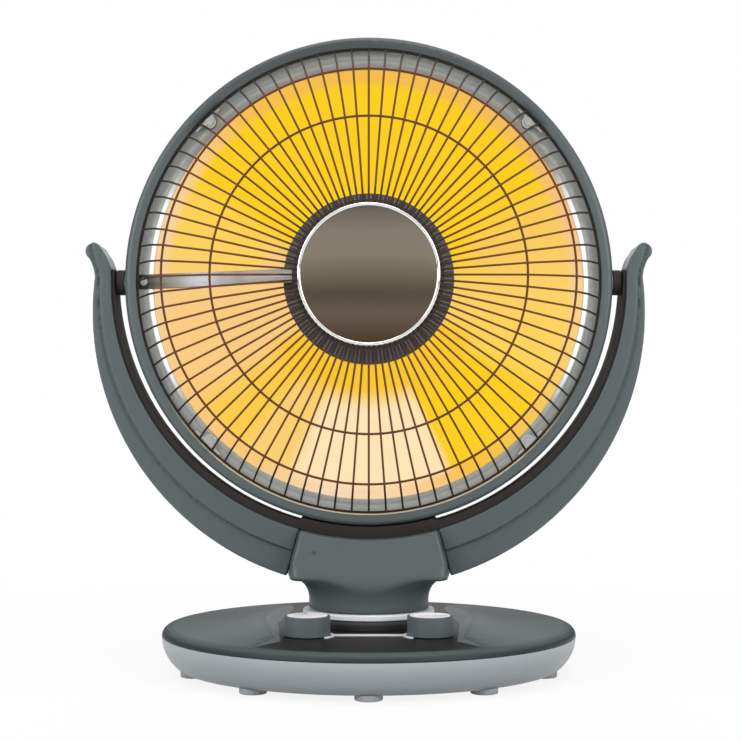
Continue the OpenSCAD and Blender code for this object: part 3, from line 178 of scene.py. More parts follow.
def surface(name, colour, rough, metal=0.0, mottle=0.04, patch=30.0, grain=0.8, relief=0.02,
            gloss_vary=0.05, **sockets):
    """A material with slow patches in its tone and gloss, and a fine grain in its relief.

    Patch and grain are sizes in millimetres, relief is the grain's depth in millimetres.
    """
    made = bpy.data.materials.new(name)
    made.use_nodes = True
    tree = made.node_tree
    shader = tree.nodes["Principled BSDF"]
    place = add(tree, "ShaderNodeTexCoord").outputs["Object"]
    slow = add(tree, "ShaderNodeTexNoise", {"Vector": place, "Scale": 1 / (patch * MM),
                                            "Detail": 3.0})
    fine = add(tree, "ShaderNodeTexNoise", {"Vector": place, "Scale": 1 / (grain * MM),
                                            "Detail": 2.0})
    base = srgb(colour)
    dark = [c * (1 - 2 * mottle) for c in base[:3]] + [1.0]
    pale = [min(1.0, c * (1 + 2 * mottle)) for c in base[:3]] + [1.0]
    tone = add(tree, "ShaderNodeMix", {0: slow.outputs["Fac"], 6: dark, 7: pale}, data_type="RGBA")
    gloss = add(tree, "ShaderNodeMapRange", {"Value": slow.outputs["Fac"],
                                             "To Min": max(0.02, rough - gloss_vary),
                                             "To Max": rough + gloss_vary})
    rise = add(tree, "ShaderNodeBump", {"Height": fine.outputs["Fac"], "Strength": 1.0,
                                        "Distance": relief * MM})
    tree.links.new(tone.outputs[2], shader.inputs["Base Color"])
    tree.links.new(gloss.outputs["Result"], shader.inputs["Roughness"])
    tree.links.new(rise.outputs["Normal"], shader.inputs["Normal"])
    shader.inputs["Metallic"].default_value = metal
    for socket, value in sockets.items():
        shader.inputs[socket.replace("_", " ")].default_value = value
    return made


def settle(piece, material, *nodes):
    """Gives a finished piece its material and its body, and hides the CAD nodes that it stands for.
    """
    piece.data.materials.clear()
    piece.data.materials.append(material)
    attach(piece, BODY_OF[nodes[0]])
    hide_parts(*nodes)
    return piece


def plain_mesh(piece):
    """Turns what the modifiers make of a piece into its plain mesh."""
    seen = bpy.context.evaluated_depsgraph_get()
    made = bpy.data.meshes.new_from_object(piece.evaluated_get(seen), depsgraph=seen)
    piece.modifiers.clear()
    old, piece.data = piece.data, made
    bpy.data.meshes.remove(old)
    made.name = piece.name
    return piece


def rounded(node, material, radius=0.0, crease=32.0, steps=2):
    """The moulded form of a CAD node: its triangles merged, its edges rounded by a radius
    in millimetres, and its curves shaded smooth up to a crease angle."""
    mesh = frame["nodes"][node].data.copy()
    work = bmesh.new()
    work.from_mesh(mesh)
    bmesh.ops.remove_doubles(work, verts=work.verts, dist=2e-6)
    bmesh.ops.dissolve_degenerate(work, dist=1e-6, edges=work.edges)
    if radius:
        bmesh.ops.dissolve_limit(work, angle_limit=math.radians(0.8), verts=work.verts,
                                 edges=work.edges)
    work.to_mesh(mesh)
    work.free()
    mesh.shade_smooth()
    mesh.set_sharp_from_angle(angle=math.radians(crease))
    piece = link(bpy.data.objects.new("finished_" + node, mesh))
    if radius:
        edge = piece.modifiers.new("rounding", "BEVEL")
        edge.width = radius * MM
        edge.segments = steps
        edge.limit_method = "ANGLE"
        edge.angle_limit = math.radians(crease)
        edge.use_clamp_overlap = False
        edge.harden_normals = True
        edge.miter_outer = "MITER_ARC"
        plain_mesh(piece)
    return settle(piece, material, node)


def height_in(tree):
    """How high a point lies."""
    place = add(tree, "ShaderNodeTexCoord").outputs["Object"]
    return add(tree, "ShaderNodeSeparateXYZ", {"Vector": place}).outputs["Z"]


def reach_from(tree, axis_z):
    """How far a point lies from the head's axis, which runs at a height in millimetres."""
    place = add(tree, "ShaderNodeTexCoord").outputs["Object"]
    centred = add(tree, "ShaderNodeMapping", {"Vector": place, "Location": (0, 0, -axis_z * MM),
                                              "Scale": (1, 0, 1)})
    return add(tree, "ShaderNodeVectorMath", {0: centred.outputs[0]},
               operation="LENGTH").outputs["Value"]


def toned(material, stops, axis_z=None):
    """Colours a material by height, or by the reach from the head's axis where the axis's
    height is given, from (millimetres, hex) pairs that rise."""
    tree = material.node_tree
    low, high = stops[0][0], stops[-1][0]
    level = height_in(tree) if axis_z is None else reach_from(tree, axis_z)
    share = add(tree, "ShaderNodeMapRange", {"Value": level, "From Min": low * MM,
                                             "From Max": high * MM})
    tone = marked(add(tree, "ShaderNodeValToRGB", {"Fac": share.outputs[0]}),
                  [((place - low) / (high - low), colour) for place, colour in stops])
    tree.links.new(tone, tree.nodes["Principled BSDF"].inputs["Base Color"])


silver_paint = surface("sprayed_silver_abs", "#90969a", 0.38, metal=0.25, mottle=0.015,
                       grain=0.5, relief=0.002, gloss_vary=0.02)
# Painted shade: darker low on the pan's side, paler near its top edge.
toned(silver_paint, [(4.7, "#6f7478"), (12, "#858b8f"), (21, "#92989c"), (28.7, "#a2a8ac")])
rounded("base_pan", silver_paint)

# --- Feet and base screws -------------------------------------------------------------
# Soft grey rubber feet, each pushed through a hole near the pan's edge until its barb
# holds it, and zinc-plated screws from below.

FOOT_COUNT, FOOT_CIRCLE, FOOT_R, FOOT_H, STEM_R = 10, 140.5, 10, 4.7, 3
STEM_TOP, BARB_R, BARB_TOP = 7.2, STEM_R + 1.5, 8.8


def turned(name, profile, around, axis="z", steps=96, crease=32.0):
    """A turned form: a closed row of (radius, height) points in millimetres spun round the
    Z axis, or for axis y round the head's axis, where height runs forwards."""
    work = bmesh.new()
    ring = []
    for r, h in profile:
        spot = (r, 0, h) if axis == "z" else (r, -h, 0)
        ring.append(work.verts.new([c * MM for c in spot]))
    edges = [work.edges.new(ends) for ends in zip(ring, ring[1:] + ring[:1])]
    bmesh.ops.spin(work, geom=ring + edges, cent=(0, 0, 0), steps=steps, angle=2 * math.pi,
                   axis=(0, 0, 1) if axis == "z" else (0, 1, 0), use_merge=True)
    bmesh.ops.remove_doubles(work, verts=work.verts, dist=1e-7)
    bmesh.ops.dissolve_degenerate(work, dist=1e-7, edges=work.edges)
    bmesh.ops.recalc_face_normals(work, faces=work.faces)
    bmesh.ops.translate(work, verts=work.verts, vec=Vector(around) * MM)
    mesh = bpy.data.meshes.new(name)
    work.to_mesh(mesh)
    work.free()
    mesh.shade_smooth()
    mesh.set_sharp_from_angle(angle=math.radians(crease))
    return link(bpy.data.objects.new(name, mesh))


def ring_tree():
    """Geometry nodes that repeat a form round an axis through a centre."""
    tree = bpy.data.node_groups.new("ring_of_copies", "GeometryNodeTree")
    for name, kind in (("Geometry", "Geometry"), ("Count", "Int"), ("Step", "Vector"),
                       ("Start", "Vector"), ("Centre", "Vector"), ("Material", "Material")):
        tree.interface.new_socket(name, in_out="INPUT", socket_type="NodeSocket" + kind)
    tree.interface.new_socket("Geometry", in_out="OUTPUT", socket_type="NodeSocketGeometry")
    given = add(tree, "NodeGroupInput").outputs
    points = add(tree, "GeometryNodeMeshLine", {"Count": given["Count"], "Offset": (0, 0, 0)})
    index = add(tree, "GeometryNodeInputIndex")
    turn = add(tree, "ShaderNodeVectorMath", {0: given["Step"], 1: index.outputs[0],
                                              2: given["Start"]}, operation="MULTIPLY_ADD")
    facing = add(tree, "FunctionNodeEulerToRotation", {0: turn.outputs[0]})
    copies = add(tree, "GeometryNodeInstanceOnPoints", {
        "Points": points.outputs[0], "Instance": given["Geometry"],
        "Rotation": facing.outputs[0]})
    real = add(tree, "GeometryNodeRealizeInstances", {0: copies.outputs[0]})
    moved = add(tree, "GeometryNodeTransform", {"Geometry": real.outputs[0],
                                                "Translation": given["Centre"]})
    dressed = add(tree, "GeometryNodeSetMaterial", {"Geometry": moved.outputs[0],
                                                    "Material": given["Material"]})
    add(tree, "NodeGroupOutput", {0: dressed.outputs[0]})
    return tree


def tune(modifier, **values):
    """Sets a modifier's named inputs by their sockets' identifiers."""
    for item in modifier.node_group.interface.items_tree:
        name = item.name.replace(" ", "_")
        if item.item_type == "SOCKET" and item.in_out == "INPUT" and name in values:
            modifier[item.identifier] = values[name]


RING_OF_COPIES = ring_tree()


def repeated(piece, count, material, nodes, axis="z", start=0.0, centre=(0, 0, 0)):
    """Repeats a piece round the Z axis, or round the head's axis through a centre in
    millimetres, from a start angle in degrees that runs anticlockwise for the viewer."""
    way = Vector((0, 0, 1)) if axis == "z" else Vector((0, -1, 0))
    ring = piece.modifiers.new("ring", "NODES")
    ring.node_group = RING_OF_COPIES
    tune(ring, Count=count, Step=way * (2 * math.pi / count), Start=way * math.radians(start),
         Centre=Vector(centre) * MM, Material=material)
    plain_mesh(piece)
    return settle(piece, material, *nodes)


rubber = surface("moulded_grey_rubber", "#9a9ea2", 0.75, mottle=0.05, grain=0.9, relief=0.03)
foot = turned("rubber_feet", [
    (0, 0), (FOOT_R - 1, 0), (FOOT_R - 0.3, 0.3), (FOOT_R, 1), (FOOT_R, FOOT_H - 0.4),
    (FOOT_R - 0.4, FOOT_H), (STEM_R, FOOT_H), (STEM_R, STEM_TOP), (BARB_R, STEM_TOP),
    (BARB_R - 0.4, BARB_TOP - 0.3), (0, BARB_TOP)], around=(FOOT_CIRCLE, 0, 0), steps=40)
repeated(foot, FOOT_COUNT, rubber, ["feet"], start=-90)

zinc = surface("bright_zinc_plate", "#c9ccce", 0.3, metal=1.0, mottle=0.05, patch=4,
               grain=0.3, relief=0.004)
steel = surface("plain_drawn_steel", "#a9adb0", 0.34, metal=1.0, mottle=0.05, patch=8,
                grain=0.4, relief=0.006)


def dress(material, *nodes):
    """A carried-over CAD node gets its procedural material."""
    for node in nodes:
        slots = frame["nodes"][node].data.materials
        slots.clear()
        slots.append(material)


dress(zinc, "base_screws", "yoke_screws")

# --- Inside the base ------------------------------------------------------------------
# A dull blanked steel ballast plate, a milky nylon terminal block, dark satin switches, a
# matt rubber cord gland, and the sprung plunger of glossy acetal that cuts the power when
# the heater is lifted or falls.

ballast_steel = surface("blanked_mild_steel", "#74777a", 0.5, metal=1.0, mottle=0.1, patch=12)
white_nylon = surface("moulded_white_nylon", "#e6e3da", 0.5, grain=0.6)
black_phenolic = surface("moulded_black_phenolic", "#2c2c2e", 0.45, grain=0.5)
acetal = surface("turned_natural_acetal", "#ecebe4", 0.4, grain=0.5, relief=0.008)
black_rubber = surface("moulded_black_rubber", "#1d1e20", 0.7, grain=0.7, relief=0.03)
ceramic = surface("pressed_steatite", "#ebe7dc", 0.6, grain=0.7, relief=0.03)
dress(ballast_steel, "ballast_plate")
dress(white_nylon, "terminal_block")
dress(black_phenolic, "timer_module", "power_switch", "tip_switch_housing", "thermal_cutout")
dress(acetal, "tip_plunger", "thrust_washer", "swivel_bush", "crank_disc", "friction_washers")
dress(steel, "tip_spring", "swivel_post", "retaining_clip", "slotted_arm", "neck_floor",
      "swing_motor", "motor_shaft", "timer_shaft", "power_shaft", "pivot_pins", "pivot_nuts",
      "lamp_bracket")
rounded("cord_gland", black_rubber, radius=0.6)

# --- Base cover -----------------------------------------------------------------------
# The dark lid on the pan: ABS moulded with a low gloss, with two raised wings and a channel
# from front to back between them that carries the controls. The channel's sloped walls are
# painted paler as painted light, and its level floor near black as painted shade.

RIM_Z = 35.3
dark_abs = surface("moulded_dark_abs", "#3f4447", 0.42, mottle=0.01, grain=0.6, relief=0.0,
                   gloss_vary=0.01, Specular_IOR_Level=0.14)
# Painted shade: the rim band darkens towards its bottom edge.
toned(dark_abs, [(28.7, "#2c3132"), (31.5, "#333a3b"), (33.8, "#4a5254"), (35.0, "#465053"),
                 (45, "#4a5558")])


def laid_over(material, share, colour):
    """Lays a colour over a material's own colour by a share from 0 to 1."""
    tree = material.node_tree
    base = tree.nodes["Principled BSDF"].inputs["Base Color"]
    tone = add(tree, "ShaderNodeMix", {0: share, 6: base.links[0].from_socket, 7: srgb(colour)},
               data_type="RGBA")
    tree.links.new(tone.outputs[2], base)


def faced(material, colour, least, most=1.1):
    """Recolours the faces above the rim that point upwards by a share between two others,
    where 0 is a wall and 1 is level."""
    tree = material.node_tree
    upright = add(tree, "ShaderNodeSeparateXYZ", {
        "Vector": add(tree, "ShaderNodeNewGeometry").outputs["True Normal"]}).outputs["Z"]
    over = add(tree, "ShaderNodeMath", {0: upright, 1: least}, operation="GREATER_THAN")
    under = add(tree, "ShaderNodeMath", {0: upright, 1: most}, operation="LESS_THAN")
    above = add(tree, "ShaderNodeMath", {0: height_in(tree), 1: (RIM_Z - 0.05) * MM},
                operation="GREATER_THAN")
    between = add(tree, "ShaderNodeMath", {0: over.outputs[0], 1: under.outputs[0]},
                  operation="MULTIPLY")
    share = add(tree, "ShaderNodeMath", {0: between.outputs[0], 1: above.outputs[0]},
                operation="MULTIPLY")
    laid_over(material, share.outputs[0], colour)


# Painted light: the sloped faces above the rim are painted paler.
faced(dark_abs, "#5f6b6f", least=0.02, most=0.97)
# Painted shade: the level faces above the rim, the channel's floor, are painted near black.
faced(dark_abs, "#1e1e1f", least=0.9992)
rounded("base_cover", dark_abs, crease=24)

# --- Plinth, collar ring and trim -----------------------------------------------------
# A black plinth fixed to the cover and lit paler just under its top, a smooth pale ring on
# it under the neck, and a thin pale strip on the deck that runs from knob to knob.

black_abs = surface("moulded_black_abs", "#2b2726", 0.5, grain=0.6, relief=0.006)
toned(black_abs, [(35.3, "#2a2322"), (39.4, "#2c2524"), (40.2, "#3c4445"), (42.3, "#555f61"),
                  (43, "#262a2b")])
pale_abs = surface("moulded_pale_abs", "#e8eaef", 0.4, mottle=0.015, grain=0.6, relief=0.003)
rounded("plinth", black_abs, radius=0.5)
rounded("collar_ring", pale_abs, radius=1.1, steps=3)
rounded("deck_trim", pale_abs)

# --- Knobs ----------------------------------------------------------------------------
# Two plain round knobs of dark ABS with a rounded top edge. A white disc is pressed into
# the top of each, and a groove across its edge marks where it points.

knob_abs = surface("moulded_knob_abs", "#5a6165", 0.42, mottle=0.02, grain=0.5, relief=0.004)
# The caps glow faintly: painted light that keeps their tops white.
cap_abs = surface("moulded_white_abs", "#fbfbfd", 0.35, mottle=0.01, grain=0.5, relief=0.002,
                  Emission_Color=srgb("#f4f6ff"), Emission_Strength=0.12)
for control in ("timer", "power"):
    rounded(control + "_knob", knob_abs, radius=0.7, steps=3)
    rounded(control + "_knob_cap", cap_abs)

# --- Neck -----------------------------------------------------------------------------
# Two moulded halves of satin dark grey ABS, screwed together from behind. A round foot
# flares into a wide block with soft edges, and a small dimple in its front is painted dark as
# painted shade.


def soft_moulded(node, material, voxel, melt, keep, seam, soft_band=None, band_melt=0):
    """A moulded form with soft edges: the CAD solid remade in even small faces of a size in
    millimetres, melted by smoothing passes, then thinned to a share of its faces. The
    faces near the seam, a plane at a Y place in millimetres, aren't melted. A soft band
    between two heights gets more passes of its own."""
    mesh = frame["nodes"][node].data.copy()
    work = bmesh.new()
    work.from_mesh(mesh)
    bmesh.ops.remove_doubles(work, verts=work.verts, dist=2e-6)
    work.to_mesh(mesh)
    work.free()
    piece = link(bpy.data.objects.new("finished_" + node, mesh))
    even = piece.modifiers.new("even", "REMESH")
    even.mode = "VOXEL"
    even.voxel_size = voxel * MM
    plain_mesh(piece)
    free = piece.vertex_groups.new(name="free_of_seam")
    for vertex in piece.data.vertices:
        clear = abs(vertex.co.y - seam * MM) / (6 * MM)
        free.add([vertex.index], min(1.0, max(0.0, clear - 0.2)), "REPLACE")
    melted = piece.modifiers.new("melted", "SMOOTH")
    melted.iterations = melt
    melted.vertex_group = free.name
    if soft_band:
        plain_mesh(piece)
        band = piece.vertex_groups.new(name="soft_band")
        low, high = (h * MM for h in soft_band)
        for vertex in piece.data.vertices:
            clear = min(abs(vertex.co.y - seam * MM), vertex.co.z - low, high - vertex.co.z)
            band.add([vertex.index], min(1.0, max(0.0, clear / (5 * MM))), "REPLACE")
        softer = piece.modifiers.new("softer", "SMOOTH")
        softer.iterations = band_melt
        softer.vertex_group = band.name
    thinned = piece.modifiers.new("thinned", "DECIMATE")
    thinned.ratio = keep
    plain_mesh(piece)
    piece.data.shade_smooth()
    return settle(piece, material, node)


yoke_abs = surface("moulded_yoke_abs", "#4c5558", 0.42, mottle=0.015, grain=0.7, relief=0.003,
                   gloss_vary=0.02)
# Painted shade: a dark spot where the small dimple lies in the neck's front.
DIMPLE, DIMPLE_R = (-42, -42, 94), 2.2
tree = yoke_abs.node_tree
offset = add(tree, "ShaderNodeVectorMath", {
    0: add(tree, "ShaderNodeTexCoord").outputs["Object"], 1: Vector(DIMPLE) * MM},
    operation="DISTANCE")
inside = add(tree, "ShaderNodeMapRange", {"Value": offset.outputs["Value"],
                                          "From Min": 0.5 * DIMPLE_R * MM,
                                          "From Max": DIMPLE_R * MM,
                                          "To Min": 1.0, "To Max": 0.0})
laid_over(yoke_abs, inside.outputs[0], "#2c3234")
NECK_SEAM_Y, FLARE = 0, (51, 86)
soft_moulded("neck_front", yoke_abs, voxel=0.9, melt=20, keep=0.6, seam=NECK_SEAM_Y,
             soft_band=FLARE, band_melt=200)
soft_moulded("neck_rear", yoke_abs, voxel=0.9, melt=12, keep=0.6, seam=NECK_SEAM_Y)

# --- Arms and liner -------------------------------------------------------------------
# Each arm is a moulded shell with a rear cover, a raised bar along its inner edge and a
# tip that curls outwards. A black liner closes the inner side of the yoke.

ARM_SEAM_Y = 0.1
liner_black = surface("moulded_black_liner", "#2a2422", 0.6, grain=0.7, relief=0.006,
                      gloss_vary=0.02, Specular_IOR_Level=0.25)
for side in ("left", "right"):
    soft_moulded("yoke_arm_" + side, yoke_abs, voxel=0.8, melt=12, keep=0.5, seam=ARM_SEAM_Y)
    soft_moulded("arm_cover_" + side, yoke_abs, voxel=0.8, melt=5, keep=0.5, seam=ARM_SEAM_Y)
rounded("yoke_liner", liner_black)
rounded("pivot_bushes", liner_black, radius=0.5)

# --- Hoop and rear housing ------------------------------------------------------------
# The hoop frames the dish: moulded dark grey plastic with a rounded face, painted darker
# towards its top as painted shade, and with a painted warm highlight along its lower lip.
# The vented dome behind it is moulded from a heat-resistant grade with a duller grain.

hoop_abs = surface("moulded_hoop_abs", "#525b5d", 0.42, mottle=0.015, grain=0.7, relief=0.003,
                   gloss_vary=0.02)
# Painted shade: the hoop darkens towards its top.
toned(hoop_abs, [(300, "#525b5d"), (400, "#4a5254"), (460, "#3f4648"), (494, "#383f41")])
TILT_F, TILT_Z, LIP_R = 10.0, 304.2, 181
tree = hoop_abs.node_tree
# Painted highlight: a warm pale line on the inner edge of the lower lip.
lip = add(tree, "ShaderNodeMapRange", {"Value": reach_from(tree, TILT_Z),
                                       "From Min": (LIP_R + 0.5) * MM,
                                       "From Max": (LIP_R + 1.0) * MM,
                                       "To Min": 1.0, "To Max": 0.0})
low_part = add(tree, "ShaderNodeMapRange", {
    "Value": height_in(tree), "From Min": (TILT_Z - 140) * MM, "From Max": (TILT_Z - 90) * MM,
    "To Min": 1.0, "To Max": 0.0})
lip_painted_highlight = add(tree, "ShaderNodeMath", {0: lip.outputs[0], 1: low_part.outputs[0]},
              operation="MULTIPLY")
laid_over(hoop_abs, lip_painted_highlight.outputs[0], "#d9c6a2")
housing_pp = surface("moulded_heat_proof_plastic", "#454c4f", 0.55, mottle=0.03, grain=0.8,
                     relief=0.02)
rounded("front_ring", hoop_abs, crease=30)
rounded("rear_housing", housing_pp, crease=24)

# --- Reflector ------------------------------------------------------------------------
# A dish spun from bright aluminium, with a rolled bead at its mouth and a flat, bare flange.
# The lamp's light in the dish is painted light: a warm glow of emission, deepest at the top
# and pale at the bottom and sides, and a painted white reflection on the bead at the sides.

HEAD = (0, -TILT_F, TILT_Z)
YELLOW, GOLD, PEACH = "#fbce17", "#f8c62c", "#f8cc82"
PALE, CREAM, AMBER = "#fbd066", "#fde4b8", "#f8cf72"
DISH_HOLE_R, DISH_FLAT_R, DISH_R, FLANGE_R, DISH_DEEP, FLANGE_F, DISH_T = (
    17, 32, 170, 185, 62, 6, 1)
GLOW_LEFT, GLOW_DROP, GLOW_POWER = 0.2, 1.7, 0.97


def dish_f(r):
    """How far forward the dish's face lies at a radius."""
    return FLANGE_F - DISH_DEEP + DISH_DEEP * ((r - DISH_FLAT_R) / (DISH_R - DISH_FLAT_R)) ** 2


def glow_material():
    """Spun aluminium whose dish carries a painted glow on its front, by angle and radius: painted
    light that stands in for the lamp's light. The glow lies a little to the left of the head's
    axis and below it, as the lamp's light falls."""
    made = surface("spun_bright_aluminium", "#9a9b97", 0.36, metal=0.25, mottle=0.04, patch=14,
                   grain=0.5, relief=0.001)
    # Painted light: the flange is painted paler towards its outer edge, under the hoop's lip.
    toned(made, [(169, "#a3a5a1"), (173, "#a3a6a2"), (178, "#c2c6c3"), (182, "#dadedb")],
          axis_z=TILT_Z)
    tree = made.node_tree
    shader = tree.nodes["Principled BSDF"]
    place = add(tree, "ShaderNodeTexCoord").outputs["Object"]
    centred = add(tree, "ShaderNodeMapping", {
        "Vector": place, "Location": (GLOW_LEFT * MM, 0, (GLOW_DROP - TILT_Z) * MM)})
    xyz = add(tree, "ShaderNodeSeparateXYZ", {"Vector": centred.outputs[0]}).outputs
    angle = add(tree, "ShaderNodeMath", {0: xyz["Z"], 1: xyz["X"]}, operation="ARCTAN2")
    turn = add(tree, "ShaderNodeMapRange", {"Value": angle.outputs[0], "From Min": -math.pi,
                                            "From Max": math.pi})
    flat = add(tree, "ShaderNodeCombineXYZ", {"X": xyz["X"], "Y": xyz["Z"]})
    reach = add(tree, "ShaderNodeVectorMath", {0: flat.outputs[0]}, operation="LENGTH")
    radius = add(tree, "ShaderNodeMapRange", {"Value": reach.outputs["Value"],
                                              "From Max": DISH_R * MM})

    # The glow's tones round the dish, anticlockwise from the left: in its middle, further
    # out, and in a band along its rim.
    inner = marked(add(tree, "ShaderNodeValToRGB", {"Fac": turn.outputs[0]}), [
        (0.0, PEACH), (0.06, PEACH), (0.1, GOLD), (0.42, GOLD), (0.46, PALE), (0.5, PALE),
        (0.58, YELLOW), (0.9, YELLOW), (0.945, PEACH), (1.0, PEACH)], "EASE")
    outer = marked(add(tree, "ShaderNodeValToRGB", {"Fac": turn.outputs[0]}), [
        (0.0, PEACH), (0.08, PEACH), (0.108, "#facb48"), (0.137, "#facb48"), (0.15, AMBER),
        (0.18, AMBER), (0.195, CREAM), (0.311, CREAM), (0.32, YELLOW), (0.405, YELLOW),
        (0.43, "#fcd458"), (0.5, PALE), (0.555, "#f7ca5c"), (0.59, YELLOW), (0.905, YELLOW),
        (0.93, "#fdd150"), (0.965, "#fbd260"), (1.0, PEACH)])
    rim_tone = marked(add(tree, "ShaderNodeValToRGB", {"Fac": turn.outputs[0]}), [
        (0.0, "#f5cf98"), (0.11, "#f8c878"), (0.16, "#f7c879"), (0.22, "#f7d8b8"),
        (0.28, "#f5d2a2"), (0.33, "#f6bf3a"), (0.39, "#f4c450"), (0.45, "#f9cf70"),
        (0.5, "#f6d08e"), (0.556, "#f7c285"), (0.61, "#f2bc59"), (0.75, "#f5bc45"),
        (0.85, "#f5bd4c"), (0.9, "#f8cc84"), (0.95, "#f6d3a0"), (1.0, "#f5cf98")])
    spread = add(tree, "ShaderNodeMapRange", {"Value": radius.outputs[0], "From Min": 0.46,
                                              "From Max": 0.6},
                 interpolation_type="SMOOTHSTEP")
    body = add(tree, "ShaderNodeMix", {0: spread.outputs[0], 6: inner, 7: outer},
               data_type="RGBA")
    rim = add(tree, "ShaderNodeMapRange", {"Value": radius.outputs[0], "From Min": 0.915,
                                           "From Max": 0.955}, interpolation_type="SMOOTHSTEP")
    edge = add(tree, "ShaderNodeMix", {0: rim.outputs[0], 6: body.outputs[2],
                                       7: rim_tone}, data_type="RGBA")

    # The painted glow ends at the dish's mouth, and inside the mouth the base colour is a dark
    # brown under it.
    lit = add(tree, "ShaderNodeMapRange", {"Value": reach.outputs["Value"],
                                           "From Min": (DISH_R - 2.3) * MM,
                                           "From Max": (DISH_R - 1.4) * MM,
                                           "To Min": 1.0, "To Max": 0.0})
    laid_over(made, lit.outputs[0], "#3a2a10")
    glow = add(tree, "ShaderNodeMix", {0: lit.outputs[0], 6: srgb("#000000"),
                                       7: edge.outputs[2]}, data_type="RGBA")

    # A thin painted white reflection lies on the bead at both sides.
    level = add(tree, "ShaderNodeMath", {0: xyz["Z"], 1: reach.outputs["Value"]},
                operation="DIVIDE")
    side = add(tree, "ShaderNodeMath", {0: level.outputs[0]}, operation="ABSOLUTE")
    beside = add(tree, "ShaderNodeMapRange", {"Value": side.outputs[0], "From Min": 0.3,
                                              "From Max": 0.6, "To Min": 1.0, "To Max": 0.0},
                 interpolation_type="SMOOTHSTEP")
    bead_in = add(tree, "ShaderNodeMapRange", {"Value": reach.outputs["Value"],
                                               "From Min": (DISH_R - 1.8) * MM,
                                               "From Max": (DISH_R - 1.2) * MM})
    bead_out = add(tree, "ShaderNodeMapRange", {"Value": reach.outputs["Value"],
                                                "From Min": (DISH_R + 0.9) * MM,
                                                "From Max": (DISH_R + 2.1) * MM,
                                                "To Min": 1.0, "To Max": 0.0})
    bead = add(tree, "ShaderNodeMath", {0: bead_in.outputs[0], 1: bead_out.outputs[0]},
               operation="MULTIPLY")
    crescent = add(tree, "ShaderNodeMath", {0: bead.outputs[0], 1: beside.outputs[0]},
                   operation="MULTIPLY")
    shone = add(tree, "ShaderNodeMix", {0: crescent.outputs[0], 6: glow.outputs[2],
                                        7: srgb("#e6e6e6")}, data_type="RGBA")

    # Nothing glows on the back, whichever way the head is turned.
    facing = add(tree, "ShaderNodeVectorTransform", {
        0: add(tree, "ShaderNodeNewGeometry").outputs["True Normal"]}, vector_type="NORMAL",
        convert_from="WORLD", convert_to="OBJECT")
    forward = add(tree, "ShaderNodeSeparateXYZ", {"Vector": facing.outputs[0]}).outputs["Y"]
    front = add(tree, "ShaderNodeMath", {0: forward, 1: 0.0}, operation="LESS_THAN")
    shown = add(tree, "ShaderNodeMix", {0: front.outputs[0], 6: srgb("#000000"),
                                        7: shone.outputs[2]}, data_type="RGBA")
    tree.links.new(shown.outputs[2], shader.inputs["Emission Color"])
    shader.inputs["Emission Strength"].default_value = GLOW_POWER
    return made


DISH_STEPS = 44
MOUTH_BEAD = [(0.4, 0.3), (0.9, 0.55), (1.6, 0.7), (2.4, 0.7), (3.2, 0.5), (3.9, 0.2), (4.5, 0.0)]
face = [DISH_FLAT_R + (DISH_R - DISH_FLAT_R) * i / DISH_STEPS for i in range(DISH_STEPS + 1)]
dish = turned("spun_reflector", (
    [(DISH_HOLE_R, dish_f(DISH_FLAT_R))] + [(r, dish_f(r)) for r in face]
    + [(DISH_R + r, FLANGE_F + f) for r, f in MOUTH_BEAD]
    + [(FLANGE_R, FLANGE_F), (FLANGE_R, FLANGE_F - DISH_T)]
    + [(r, dish_f(r) - DISH_T) for r in reversed(face)]
    + [(DISH_HOLE_R, dish_f(DISH_FLAT_R) - DISH_T)]),
    around=HEAD, axis="y", steps=240, crease=28)
settle(dish, glow_material(), "reflector")

# --- Lamp -----------------------------------------------------------------------------
# A ring of drawn quartz tube round the stem, clear with sharp reflections, with a glowing
# tungsten coil inside it and chalky pressed ceramic holders on its ends.

quartz = surface("drawn_clear_quartz", "#fff6e2", 0.03, mottle=0.0, relief=0.0,
                 gloss_vary=0.01, Transmission_Weight=1.0, IOR=1.46)
tungsten = surface("glowing_tungsten", "#ffb55a", 0.5, mottle=0.02,
                   Emission_Color=srgb("#ffb347"), Emission_Strength=2.0)
rounded("halogen_tube", quartz, crease=50)
dress(tungsten, "filament")
dress(ceramic, "tube_end_caps")

# --- Hub shroud -----------------------------------------------------------------------
# A ring pressed from sheet in dark enamel, behind the middle of the guard, that hides the
# lamp from the front. Fine ribs all round its face carry a paler copy of the enamel, painted
# light on the raised ribs.

SHROUD_R, SHROUD_F, STEM_HOLE_R, SHROUD_DEEP, SKIN = 65.5, 30.5, 18, 12, 1.2
RIB_COUNT, RIB_IN, RIB_OUT, RIB_HALF, RIB_H = 126, 50.0, SHROUD_R - 1.2, 0.8, 0.7
FACE_F = SHROUD_F - RIB_H
dark_enamel = surface("dark_heat_proof_enamel", "#4a4041", 0.42, metal=0.5, mottle=0.1, patch=6,
                      grain=0.6, relief=0.01)
# Painted light: the ribs get a paler copy of the enamel.
rib_enamel_painted_lit = surface("heat_proof_enamel_on_ribs", "#8c7f7d", 0.42, metal=0.4, mottle=0.06,
                      patch=6, grain=0.6, relief=0.01)
shroud = turned("pressed_shroud", [
    (STEM_HOLE_R, FACE_F), (SHROUD_R - 1.4, FACE_F), (SHROUD_R - 0.4, FACE_F - 0.4),
    (SHROUD_R, FACE_F - 1.2), (SHROUD_R, SHROUD_F - SHROUD_DEEP),
    (SHROUD_R - SKIN, SHROUD_F - SHROUD_DEEP), (SHROUD_R - SKIN, SHROUD_F - SKIN),
    (STEM_HOLE_R, SHROUD_F - SKIN)], around=HEAD, axis="y", steps=168)
rib_mesh = bpy.data.meshes.new("shroud_ribs")
rib = [(RIB_IN, -RIB_HALF), (RIB_OUT, -RIB_HALF), (RIB_OUT, RIB_HALF), (RIB_IN, RIB_HALF)]
